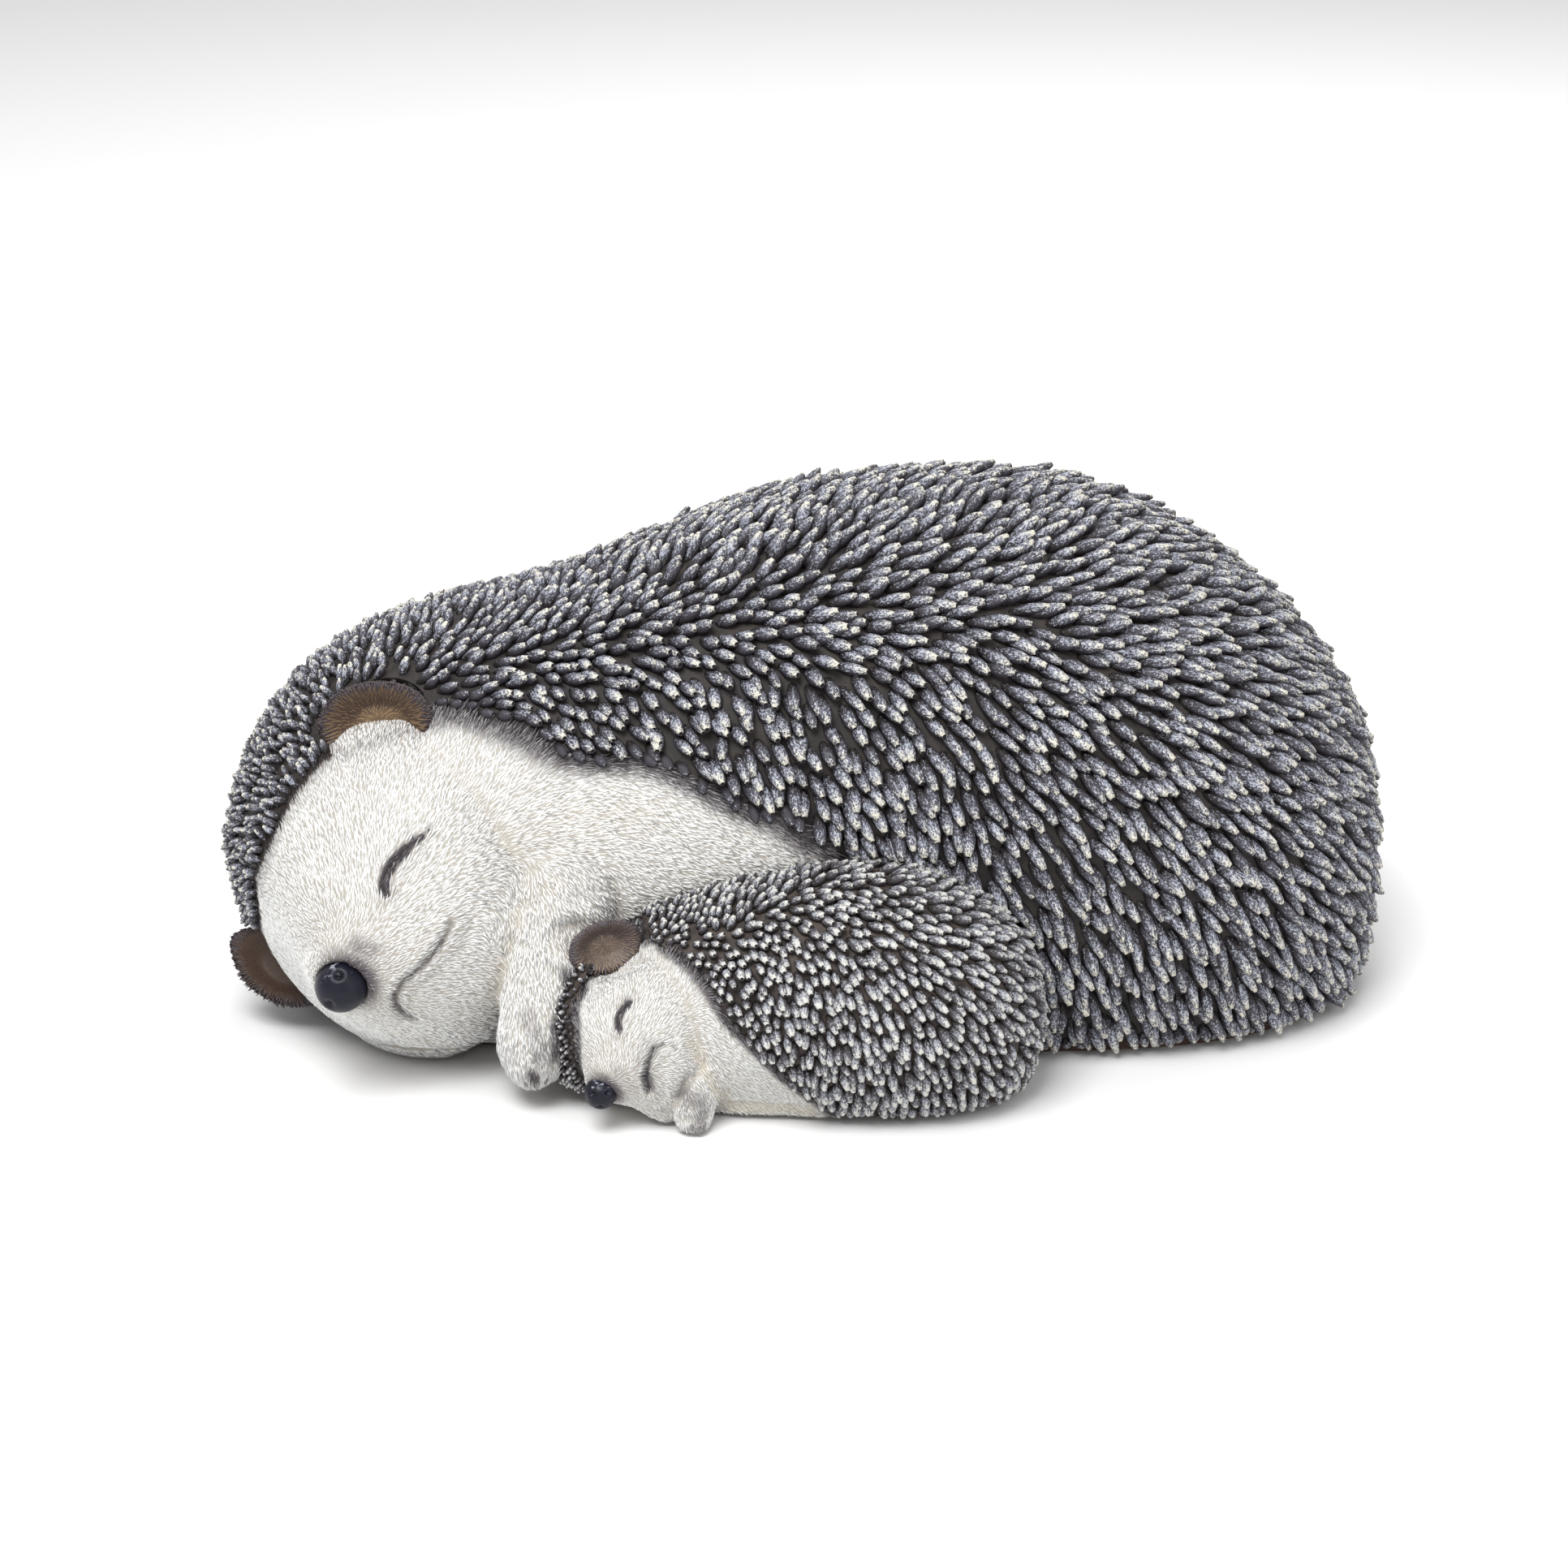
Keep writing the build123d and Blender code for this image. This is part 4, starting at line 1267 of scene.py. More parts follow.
@dataclass
class FurSkin:
    """One animal's white fur: a smooth skin over its castings, with creases, tones and carved strands."""

    nodes: tuple[str, ...]
    coat: str
    piece_name: str
    strand_name: str
    voxel: float
    creases: tuple[Crease, ...]
    ash: tuple[Smudge, ...]
    ochre: tuple[Smudge, ...]
    nose: Triple
    nose_radius: float
    muzzle: float
    strokes: list[Stroke]
    gap: float
    strand_length: float
    strand_radius: float
    edge: float
    seed: int
    hem: float = 0.0
    pushes: tuple[Push, ...] = ()
    covered: tuple[Outline, ...] = ()
    replaced: tuple[str, ...] = ()
    piece: bpy.types.Object = field(init=False)
    surface: Surface = field(init=False)
    coat_surface: Surface = field(init=False)
    crease_lines: list[np.ndarray] = field(init=False)
    ash_lines: list[np.ndarray] = field(init=False)
    ochre_lines: list[np.ndarray] = field(init=False)

    def skin(self, view: Viewpoint) -> bpy.types.Object:
        """Makes the skin.

        Args:
            view: The photograph's viewpoint.

        Returns:
            The piece.
        """
        copies = [placed(node + "_copy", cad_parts[node].data.copy()) for node in self.nodes]
        bpy.ops.object.select_all(action="DESELECT")
        for copy in copies:
            copy.select_set(True)
        bpy.context.view_layer.objects.active = copies[0]
        bpy.ops.object.join()
        self.piece = bpy.context.view_layer.objects.active
        self.piece.name = self.piece_name
        select_only(self.piece)
        bpy.ops.object.mode_set(mode="EDIT")
        bpy.ops.mesh.select_all(action="SELECT")
        bpy.ops.mesh.remove_doubles(threshold=WELD)
        bpy.ops.object.mode_set(mode="OBJECT")
        self._modify("DISPLACE", {"strength": SWELL, "mid_level": 0.0})
        self._modify("REMESH", {"mode": "VOXEL", "voxel_size": self.voxel * MM})
        self._modify("SMOOTH", {"factor": 0.6, "iterations": 5})
        points = mesh_points(self.piece)
        for push in self.pushes:
            points = push.moved(points)
        low = points[:, 2] < HEM_TOP
        share = 1 - points[low, 2] / HEM_TOP
        points[low, 1] -= self.hem * MM * share * (points[low, 1] < HEM_FRONT)
        points[low, 2] = np.interp(points[low, 2], [2.2 * MM, HEM_TOP], [0.5 * MM, HEM_TOP])
        move_points(self.piece, points)
        self._refine(view)
        self.coat_surface = Surface([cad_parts[self.coat]])
        points = mesh_points(self.piece)
        tones = self._tones(points, view)
        self._carve()
        shade_smooth(self.piece)
        count = len(points)
        # The skin reads as the low ground between the strands, which the fur paint gives its beige painted
        # shade.
        flat = {"along": np.zeros(count), "lift": np.full(count, 0.22), "pick": np.full(count, 0.5)}
        keep_values(self.piece, **flat, **tones)
        self.surface = Surface([self.piece])
        return self.piece

    def dress(self, material: bpy.types.Material) -> None:
        """Paints the skin and lets it stand for its castings."""
        dress(self.piece, material)
        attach(self.piece, BODY)
        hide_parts(*self.nodes, *self.replaced)
        LOG.info("%s: %d faces", self.piece.name, len(self.piece.data.polygons))

    def strands(
        self, view: Viewpoint, blockers: Surface, material: bpy.types.Material
    ) -> list[bpy.types.Object]:
        """Lays the carved strands along the flow of the fur.

        Args:
            view: The photograph's viewpoint.
            blockers: The coats, fur skins and ears, which hide strands.
            material: The fur's paint.

        Returns:
            The pieces.
        """
        rng = np.random.default_rng(self.seed)
        points, normals = self.surface.candidates(rng, STRAND_TRIES / (self.gap * MM) ** 2)
        stays = (points[:, 2] > FLOOR_ROOM) & (normals[:, 2] > STRAND_FACING)
        points, normals = points[stays], normals[stays]
        points, normals = planted(points, normals, np.full(len(points), self.gap * MM), blockers)
        stays = self._off_nose(points) & ~view.within(points, self.covered)
        points, normals = points[stays], normals[stays]
        count = len(points)
        flow = Flow().by_eye(self.surface, view, self.strokes)
        ways = turned(flow.at(points, normals), normals, rng.normal(0, STRAND_TURN, count))
        edge = 1 - eased(self.coat_surface.apart(points), 0.5 * MM, self.edge * MM)
        axes, ups = raised(ways, normals, 4 + 10 * edge + rng.normal(0, 2 + 4 * edge, count))
        from_nose = np.linalg.norm(points - np.array(self.nose) * MM, axis=1)
        small = 0.55 + 0.45 * eased(from_nose, self.nose_radius * MM, 4.5 * self.nose_radius * MM)
        lengths = self.strand_length * MM * rng.uniform(*STRAND_LENGTHS, count) * small * (1 + 0.45 * edge)
        radii = self.strand_radius * MM * rng.uniform(*STRAND_WIDTHS, count) * (0.75 + 0.25 * small)
        drop = np.maximum(-axes[:, 2] * lengths, 1e-9)
        lengths *= np.minimum(1, np.maximum(points[:, 2] - 0.8 * MM, 0.3 * MM) / drop)
        middles = points + axes * (lengths * 0.6)[:, None]
        tones = self._tones(middles, view)
        tones["ash"] = np.maximum(tones["ash"], self._tones(points, view)["ash"])
        growth = Growth(
            drawn_out(3, STRAND_RINGS), points - normals * (radii * STRAND_ROOT)[:, None], axes, ups,
            radii, lengths, rng.uniform(*STRAND_BENDS, count), np.full(count, STRAND_FLAT), tones,
        )
        return growth.grow(self.strand_name, material, rng)

    def _modify(self, kind: str, settings: dict[str, object]) -> None:
        """Adds one modifier and applies it."""
        modifier = self.piece.modifiers.new(kind.lower(), kind)
        for name, setting in settings.items():
            setattr(modifier, name, setting)
        select_only(self.piece)
        bpy.ops.object.modifier_apply(modifier=modifier.name)

    def _refine(self, view: Viewpoint) -> None:
        """Lays the creases and smudges on the skin and halves its faces along the creases."""
        surface = Surface([self.piece])
        self.crease_lines = [surface.line(view, crease.pixels) for crease in self.creases]
        self.ash_lines = [surface.line(view, smudge.pixels) for smudge in self.ash]
        self.ochre_lines = [surface.line(view, smudge.pixels) for smudge in self.ochre]
        mesh = self.piece.data
        centres = np.empty(len(mesh.polygons) * 3)
        mesh.polygons.foreach_get("center", centres)
        near = np.zeros(len(mesh.polygons), bool)
        for crease, line in zip(self.creases, self.crease_lines):
            near |= to_lines(centres.reshape(-1, 3), line) < (crease.width * 2.5) * MM
        mesh.vertices.foreach_set("select", np.zeros(len(mesh.vertices), bool))
        mesh.edges.foreach_set("select", np.zeros(len(mesh.edges), bool))
        mesh.polygons.foreach_set("select", near)
        select_only(self.piece)
        bpy.ops.object.mode_set(mode="EDIT")
        bpy.ops.mesh.select_mode(type="FACE")
        bpy.ops.mesh.subdivide(number_cuts=1, smoothness=0.0)
        bpy.ops.object.mode_set(mode="OBJECT")

    def _carve(self) -> None:
        """Presses the creases in and raises their lips."""
        points, normals = mesh_points(self.piece), mesh_normals(self.piece)
        for crease, line in zip(self.creases, self.crease_lines):
            apart = to_lines(points, line) / MM
            groove = np.exp(-((apart / crease.width) ** 2) * 2.2) * crease.depth
            lip = np.exp(-(((apart - crease.width * 1.7) / crease.width) ** 2) * 1.5) * crease.lip
            points = points + normals * ((lip - groove) * MM)[:, None]
        move_points(self.piece, points)

    def _tones(self, points: np.ndarray, view: Viewpoint) -> dict[str, np.ndarray]:
        """How grey and how ochre the fur is at each point; the grey is partly airbrushed tint and partly
        painted shade, in creases, under the ear and along the coat's edge.
        """
        ash = strongest(points, self.ash, self.ash_lines)
        ochre = strongest(points, self.ochre, self.ochre_lines)
        out = points - np.array(self.nose) * MM
        from_nose = np.linalg.norm(out, axis=1) / MM
        ring = 1 - eased(from_nose, self.nose_radius * 0.95, self.nose_radius + self.muzzle)
        bridge = np.clip(0.35 + 0.65 * (unit(out) @ np.array([0.75, 0.0, 0.66])), 0, 1)
        ash = np.maximum(ash, ring * bridge)
        # Painted shade: the fur goes grey along the coat's edge, where it meets the quills.
        border = (1 - eased(self.coat_surface.apart(points), 0.6 * MM, 1.5 * self.edge * MM)) * 0.78
        ash = np.where(view.within(points, self.covered), 2.0, np.maximum(ash, border))
        return {"ash": ash, "ochre": ochre}

    def _off_nose(self, points: np.ndarray) -> np.ndarray:
        """Whether each point is clear of the nose."""
        return np.linalg.norm(points - np.array(self.nose) * MM, axis=1) > (self.nose_radius + 0.2) * MM


@dataclass(frozen=True)
class Nose:
    """A glossy ball with two nostrils and a notch under its tip."""

    node: str
    piece_name: str
    middle: Triple
    radius: float
    nostrils: tuple[Triple, ...]
    notch: Triple

    def build(self, material: bpy.types.Material) -> bpy.types.Object:
        """Makes the nose.

        Args:
            material: Its gloss paint.

        Returns:
            The piece.
        """
        bpy.ops.object.select_all(action="DESELECT")
        bpy.ops.mesh.primitive_uv_sphere_add(
            segments=64, ring_count=40, radius=self.radius * MM, location=tuple(c * MM for c in self.middle)
        )
        piece = bpy.context.active_object
        piece.name = self.piece_name
        bpy.ops.object.transform_apply(location=True, rotation=True, scale=True)
        sort_faces(piece)
        middle, radius = np.array(self.middle) * MM, self.radius * MM
        points = mesh_points(piece)
        away = unit(points - middle)
        shape = np.full(len(points), radius)
        for nostril in self.nostrils:
            near = degrees_off(away, nostril)
            shape -= radius * 0.30 * np.exp(-((near / 9.0) ** 2) * 1.6)
            shape += radius * 0.04 * np.exp(-(((near - 20.0) / 9.0) ** 2))
        near = degrees_off(away, self.notch)
        shape -= radius * 0.22 * np.exp(-((near / 13.0) ** 2) * 1.4)
        move_points(piece, middle + away * shape[:, None])
        shade_smooth(piece)
        # lift is how much a point faces up, where the pale scuffs and the painted highlight gather.
        keep_values(piece, lift=np.clip(0.5 + 0.5 * away[:, 2] - 0.2 * away[:, 1], 0, 1))
        dress(piece, material)
        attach(piece, BODY)
        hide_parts(self.node)
        LOG.info("%s", piece.name)
        return piece


@dataclass(frozen=True)
class Ear:
    """A cupped ear with fine ridges that run out to its rim. Its sizes are in millimetres."""

    node: str
    piece_name: str
    middle: Triple
    way: Triple
    radius: float
    wall: float
    depth: float
    gap: float
    ridge_length: float
    ridge_radius: float
    seed: int
    paint: EarPaint = EarPaint()
    point: float = 0.0
    flat: float = 1.0
    turn: float = 0.0

    def build(self) -> list[bpy.types.Object]:
        """Makes the ear and its ridges.

        Returns:
            The pieces.
        """
        material = self.paint.build()
        bpy.ops.object.select_all(action="DESELECT")
        bpy.ops.mesh.primitive_uv_sphere_add(segments=96, ring_count=96, radius=1.0, location=(0, 0, 0))
        piece = bpy.context.active_object
        piece.name = self.piece_name
        sort_faces(piece)
        shade_smooth(piece)
        ball = mesh_points(piece)
        out = np.hypot(ball[:, 0], ball[:, 1])
        front = ball[:, 2] > 0
        inside = front * (1 - eased(out, 0.74, 0.86))
        # How near the rim and the upper side a point is; the ear paint puts painted shade in the cup there.
        rim = eased(out + 0.45 * ball[:, 1], 0.20, 0.95)
        move_points(piece, self._shaped(ball, out, front))
        keep_values(piece, ochre=inside, rim=rim, lift=np.full(len(ball), 0.15))
        dress(piece, material)
        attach(piece, BODY)
        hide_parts(self.node)
        return [piece, *self._ridges(piece, inside, rim, material)]

    @property
    def _axis(self) -> np.ndarray:
        """The direction that the cup opens to."""
        return np.array(Vector(self.way).normalized())

    def _shaped(self, ball: np.ndarray, out: np.ndarray, front: np.ndarray) -> np.ndarray:
        """Turns the points of a unit ball into a cup with a round rim, in its place."""
        cup = self.depth * (1 - eased(out, 0.35, 0.92))
        across = ball[:, 2] * np.where(front, self.wall, self.wall + self.depth) - np.where(front, cup, 0)
        leftwards = np.clip(-ball[:, 0], 0, 1)
        x = ball[:, 0] * self.radius
        y = ball[:, 1] * self.radius * self.flat * (1 - self.point * leftwards ** 2)
        sine, cosine = math.sin(math.radians(self.turn)), math.cos(math.radians(self.turn))
        way = self._axis
        right = unit(np.cross([[0.0, 0.0, 1.0]], way[None]))[0]
        up = np.cross(way, right)
        spread = (
            (x * cosine - y * sine)[:, None] * right
            + (x * sine + y * cosine)[:, None] * up
            + across[:, None] * way
        )
        return (np.array(self.middle) + spread) * MM

    def _ridges(
        self, piece: bpy.types.Object, inside: np.ndarray, rim: np.ndarray, material: bpy.types.Material
    ) -> list[bpy.types.Object]:
        """Lays the fine ridges from the ear's middle to its rim."""
        rng = np.random.default_rng(self.seed)
        surface = Surface([piece])
        tree = point_tree(surface.points)
        points, normals = surface.candidates(rng, RIDGE_TRIES / (self.gap * MM) ** 2)
        stays = points[:, 2] > 1 * MM
        points, normals = points[stays], normals[stays]
        kept = thinned(points, np.full(len(points), self.gap * MM))
        points, normals = points[kept], normals[kept]
        nearest = np.array([tree.find(point)[1] for point in points])
        way = self._axis
        out = points - np.array(self.middle) * MM
        out = flattened(unit(out - (out @ way)[:, None] * way) + way, normals)
        firm = np.linalg.norm(out, axis=1) > 0.45
        points, normals, out, nearest = points[firm], normals[firm], unit(out[firm]), nearest[firm]
        count = len(points)
        out = turned(out, normals, rng.normal(0, RIDGE_TURN, count))
        axes, ups = raised(out, normals, rng.normal(0.5, 1.5, count))
        short = 1 - 0.45 * rim[nearest] * (1 - inside[nearest])
        growth = Growth(
            drawn_out(3, RIDGE_RINGS), points - normals * (0.06 * MM), axes, ups,
            self.ridge_radius * MM * rng.uniform(*RIDGE_WIDTHS, count),
            self.ridge_length * MM * rng.uniform(*RIDGE_LENGTHS, count) * short,
            rng.uniform(*RIDGE_BENDS, count), np.full(count, RIDGE_FLAT),
            {"ochre": inside[nearest], "rim": rim[nearest]},
        )
        return growth.grow(self.piece_name + "_ridges", material, rng)


# Name, place, size and power of each light, all turned to a spot above the floor's middle.
LIGHTS: tuple[tuple[str, Triple, float, float], ...] = (
    ("key_light", (-0.35, -0.7, 1.3), 0.8, 20.0),
    ("fill_light", (1.0, -0.8, 0.7), 1.0, 4.0),
    ("rim_light", (0.3, 1.0, 1.1), 0.9, 9.0),
)
LIT_SPOT = Vector((0, 0, 0.05))


def studio() -> None:
    """Adds the floor, the soft lights and the pale surroundings."""
    bpy.ops.object.select_all(action="DESELECT")
    bpy.ops.mesh.primitive_plane_add(size=12, location=(0, 0, -0.00005))
    floor = bpy.context.active_object
    floor.name = "floor"
    dress(floor, FloorPaint().build())
    world = bpy.data.worlds.new("studio")
    world.use_nodes = True
    background = world.node_tree.nodes["Background"]
    background.inputs["Color"].default_value = (1.0, 1.0, 1.0, 1.0)
    background.inputs["Strength"].default_value = 0.60
    bpy.context.scene.world = world
    for name, place, size, power in LIGHTS:
        light = bpy.data.lights.new(name, "AREA")
        light.size = size
        light.energy = power
        holder = placed(name, light)
        holder.location = place
        holder.rotation_euler = (LIT_SPOT - Vector(place)).to_track_quat("-Z", "Y").to_euler()
    bpy.context.scene.view_settings.view_transform = "Standard"


MOTHER_QUILL_STROKES: list[Stroke] = [
    (793, 707, 60), (860, 623, 62), (960, 623, 50), (1060, 590, 48), (1193, 580, 45), (1293, 590, 34),
    (993, 657, 45), (1160, 640, 40), (1260, 680, 20), (1293, 640, 27), (910, 707, 45), (1010, 690, 35),
    (1093, 727, 15), (1227, 727, 8), (1293, 753, 0), (827, 757, 15), (927, 757, -5), (1027, 773, -5),
    (1127, 787, -15), (1243, 800, -30), (777, 813, -20), (860, 823, -40), (777, 847, -60), (860, 853, -70),
    (947, 857, -70), (993, 890, -85), (1077, 873, -60), (1160, 833, -50), (1193, 857, -60),
    (1243, 850, -45), (1293, 840, -38), (900, 923, -70), (985, 985, -78), (1043, 923, -65),
    (1160, 973, -75), (1277, 957, -48), (1260, 1007, -60), (1177, 1023, -82), (1400, 640, 12),
    (1400, 700, 2), (1400, 800, -15), (1500, 720, -10), (1500, 800, -22), (1350, 900, -50),
    (1450, 900, -38), (1550, 880, -36), (1610, 850, -35), (1650, 950, -45), (1400, 1050, -60),
    (1500, 1050, -50), (1600, 1050, -48), (1660, 1080, -60), (1350, 1150, -75), (1450, 1150, -65),
    (1550, 1150, -60), (1300, 1250, -86), (1400, 1250, -76), (1500, 1230, -65), (1600, 1180, -60),
    (1220, 1120, -70), (738, 683, 50), (666, 730, 55), (594, 748, 55), (522, 766, 60), (472, 802, 65),
    (432, 820, 80), (594, 802, 30), (666, 784, 30), (720, 759, 30), (560, 829, 15), (605, 834, -5),
    (659, 820, -15), (702, 827, -30), (630, 856, -25), (677, 856, -50), (720, 870, -45), (720, 900, -50),
    (800, 905, -60), (389, 838, 100), (360, 874, 125), (335, 892, 135), (313, 928, 150), (302, 982, 170),
    (296, 1054, 190), (302, 1108, 200), (345, 940, 150),
]
MOTHER_HIDDEN_STROKES: list[tuple[Triple, Triple]] = [
    ((0, 20, 121), (0.45, 0.9, 0)), ((60, 20, 118), (0.7, 0.7, -0.1)), ((-60, 10, 95), (0.3, 0.95, 0.1)),
    ((0, 75, 90), (0.4, 0.5, -0.7)), ((0, 90, 45), (0.4, 0.1, -0.9)), ((-60, 65, 55), (0.2, 0.4, -0.9)),
    ((-100, 40, 50), (0.0, 0.7, -0.7)), ((-130, 5, 45), (-0.4, 0.8, -0.4)),
    ((-135, -20, 30), (-0.6, 0.6, -0.4)), ((70, 85, 50), (0.6, 0.2, -0.8)),
    ((110, 60, 80), (0.7, 0.4, -0.6)), ((135, 30, 45), (0.4, 0.1, -0.9)), ((140, 0, 60), (0.3, 0.0, -0.95)),
    ((120, 60, 25), (0.4, 0.2, -0.9)), ((-20, 88, 20), (0.3, 0.1, -0.95)),
    ((-90, 55, 20), (-0.1, 0.3, -0.95)), ((100, -55, 20), (0.3, -0.1, -0.95)),
]
BABY_QUILL_STROKES: list[Stroke] = [
    (783, 1114, 75), (845, 1110, 70), (887, 1131, 60), (969, 1081, 45), (1031, 1065, 30), (1093, 1065, 25),
    (1135, 1081, 10), (1176, 1119, -10), (1217, 1135, -15), (1052, 1102, -30), (1093, 1123, -35),
    (1135, 1143, -30), (1176, 1164, -25), (1238, 1172, -35), (1250, 1218, -40), (1267, 1271, -50),
    (969, 1176, -60), (911, 1205, -60), (969, 1226, -75), (1031, 1226, -70), (1093, 1214, -62),
    (1155, 1218, -50), (1197, 1214, -45), (990, 1288, -80), (1052, 1288, -80), (1114, 1288, -75),
    (1176, 1280, -65), (1217, 1288, -58), (1052, 1350, -85), (1114, 1362, -85), (1176, 1354, -78),
    (1217, 1338, -68), (1259, 1313, -60), (705, 1180, 170), (698, 1250, 185), (703, 1310, 200),
    (870, 1180, -50),
]
BABY_HIDDEN_STROKES: list[tuple[Triple, Triple]] = [
    ((0, -45, 50), (0.7, 0.6, 0)), ((40, -45, 30), (0.8, 0.4, -0.5)), ((52, -66, 15), (0.5, 0, -0.9)),
]


EYE: Outline = (
    (478, 1105), (474, 1096), (474, 1086), (477, 1076), (483, 1066), (491, 1056), (500, 1047), (510, 1039),
    (520, 1031),
)
MOUTH: Outline = ((486, 1225), (495, 1212), (515, 1195), (530, 1180), (545, 1160), (554, 1140))
CHIN: Outline = ((486, 1225), (487, 1237), (495, 1247), (506, 1253))
MOTHER_NOSE: Triple = (-107.1, -82.2, 30.4)
MOTHER_NOSE_RADIUS = 5.95
BABY_NOSE: Triple = (-47.2, -95.8, 9.9)
BABY_NOSE_RADIUS = 3.7


def mother_fur() -> FurSkin:
    """The mother's face, chest and arm."""
    return FurSkin(
        nodes=("mother_head", "mother_chest", "mother_arm"),
        coat="mother_coat",
        piece_name="mother_fur_skin",
        strand_name="mother_fur_strands",
        voxel=0.95,
        creases=(
            Crease(EYE[1:7], 1.35, 1.5, 0.35),
            Crease(EYE, 0.8, 0.5, 0.2),
            Crease(MOUTH, 1.3, 0.9, 0.3),
            Crease(CHIN, 1.0, 0.9, 0.3),
        ),
        # Grey smudges: airbrushed tint on the eye, mouth, chin and muzzle, and painted shade in creases, on
        # the paw, under the ear and along the quills' edge.
        ash=(
            Smudge(EYE[1:7], 1.9, 1.0, 0.7),
            Smudge(EYE, 1.3, 0.9, 0.25),
            Smudge(((477, 1104), (500, 1062), (520, 1040)), 4.6, 0.20),
            Smudge(MOUTH[:5], 1.5, 0.55, 0.2),
            Smudge(((492, 1216), (515, 1195), (545, 1160)), 4.8, 0.32),
            Smudge(CHIN, 1.7, 0.6, 0.2),
            Smudge(((482, 1222), (484, 1240), (492, 1252)), 3.8, 0.26),
            Smudge(((450, 1190), (475, 1185), (500, 1200)), 6.0, 0.16),
            Smudge(((520, 1200), (550, 1180), (570, 1150)), 7.0, 0.12),
            Smudge(((600, 1090), (640, 1050), (690, 1040)), 9.0, 0.10),
            Smudge(((438, 1166), (455, 1172)), 5.0, 0.50),
            # Painted shade in the crease between the arm and the young one, and on the paw.
            Smudge(((697, 1200), (694, 1260), (688, 1335)), 2.8, 0.75),
            Smudge(((684, 1262), (683, 1300), (677, 1338)), 2.6, 0.85),
            Smudge(((655, 1323), (660, 1330)), 1.9, 0.8, 0.5),
            Smudge(((658, 1298), (661, 1306)), 1.5, 0.45, 0.3),
            Smudge(((650, 1255), (670, 1295), (676, 1335)), 4.5, 0.42),
            # Painted shade along the quills' edge, under the ear, between the quills and the young one, and
            # between the arm and the chest.
            Smudge(
                ((404, 930), (384, 950), (362, 976), (346, 1002), (332, 1038), (316, 1080), (316, 1130)),
                6.5, 0.5,
            ),
            Smudge(((425, 930), (470, 912), (520, 898)), 4.0, 0.32),
            Smudge(
                ((536, 886), (570, 882), (640, 900), (700, 930), (760, 936), (810, 940), (870, 965)),
                6.5, 0.66,
            ),
            Smudge(((800, 935), (900, 975), (1000, 1020)), 8.0, 0.50),
            Smudge(((935, 990), (1000, 1035)), 9.0, 0.85),
            Smudge(((650, 1040), (690, 960)), 8.0, 0.10),
        ),
        ochre=(
            Smudge(((605, 1285), (610, 1230), (622, 1180), (640, 1130), (690, 1085)), 6.0, 0.26),
            Smudge(((640, 1040), (720, 1010), (800, 1010)), 12.0, 0.22),
            Smudge(((480, 1270), (560, 1290), (600, 1285)), 5.0, 0.26),
        ),
        nose=MOTHER_NOSE,
        nose_radius=MOTHER_NOSE_RADIUS,
        muzzle=6.2,
        strokes=[
            (380, 1150, 140), (350, 1080, 125), (400, 1050, 110), (370, 1000, 115), (420, 950, 105),
            (480, 930, 85), (450, 1100, 95), (430, 1040, 100), (520, 980, 75), (560, 930, 70),
            (600, 930, 60), (650, 940, 45), (540, 1060, 50), (600, 1000, 50), (600, 1080, 20),
            (560, 1130, 15), (520, 1120, 40), (640, 1020, 25), (560, 1200, 0), (600, 1180, 0),
            (520, 1160, 25), (480, 1180, 30), (470, 1240, -25), (520, 1270, -15), (560, 1250, -8),
            (600, 1250, 0), (400, 1200, 160), (340, 1150, 150), (330, 1100, 135), (510, 1220, 5),
            (700, 980, 10), (760, 980, -10), (830, 980, -25), (900, 1010, -30), (960, 1020, -25),
            (720, 1040, 10), (760, 1080, -30), (820, 1050, -20), (880, 1050, -15), (700, 1080, -60),
            (660, 1130, -85), (640, 1200, -92), (640, 1260, -92), (660, 1310, -85), (675, 1200, -88),
            (620, 1150, -100), (640, 1090, -80),
        ],
        gap=0.54,
        strand_length=2.8,
        strand_radius=0.285,
        edge=5.5,
        seed=11,
        pushes=(
            Push((-64.0, -86.0, 6.0), 16.0, (0.0, 1.0, 3.2), (0.78, 1.0, 1.0)),
            Push((-54.0, -78.0, 40.5), 7.0, (0.0, 2.5, 0.0)),
        ),
        covered=(
            (
                (322, 1140), (314, 1080), (334, 1036), (350, 1000), (366, 974), (388, 948), (408, 928),
                (398, 905), (392, 870), (400, 840), (240, 840), (240, 1140),
            ),
        ),
        replaced=("mother_fur_locks",),
    )


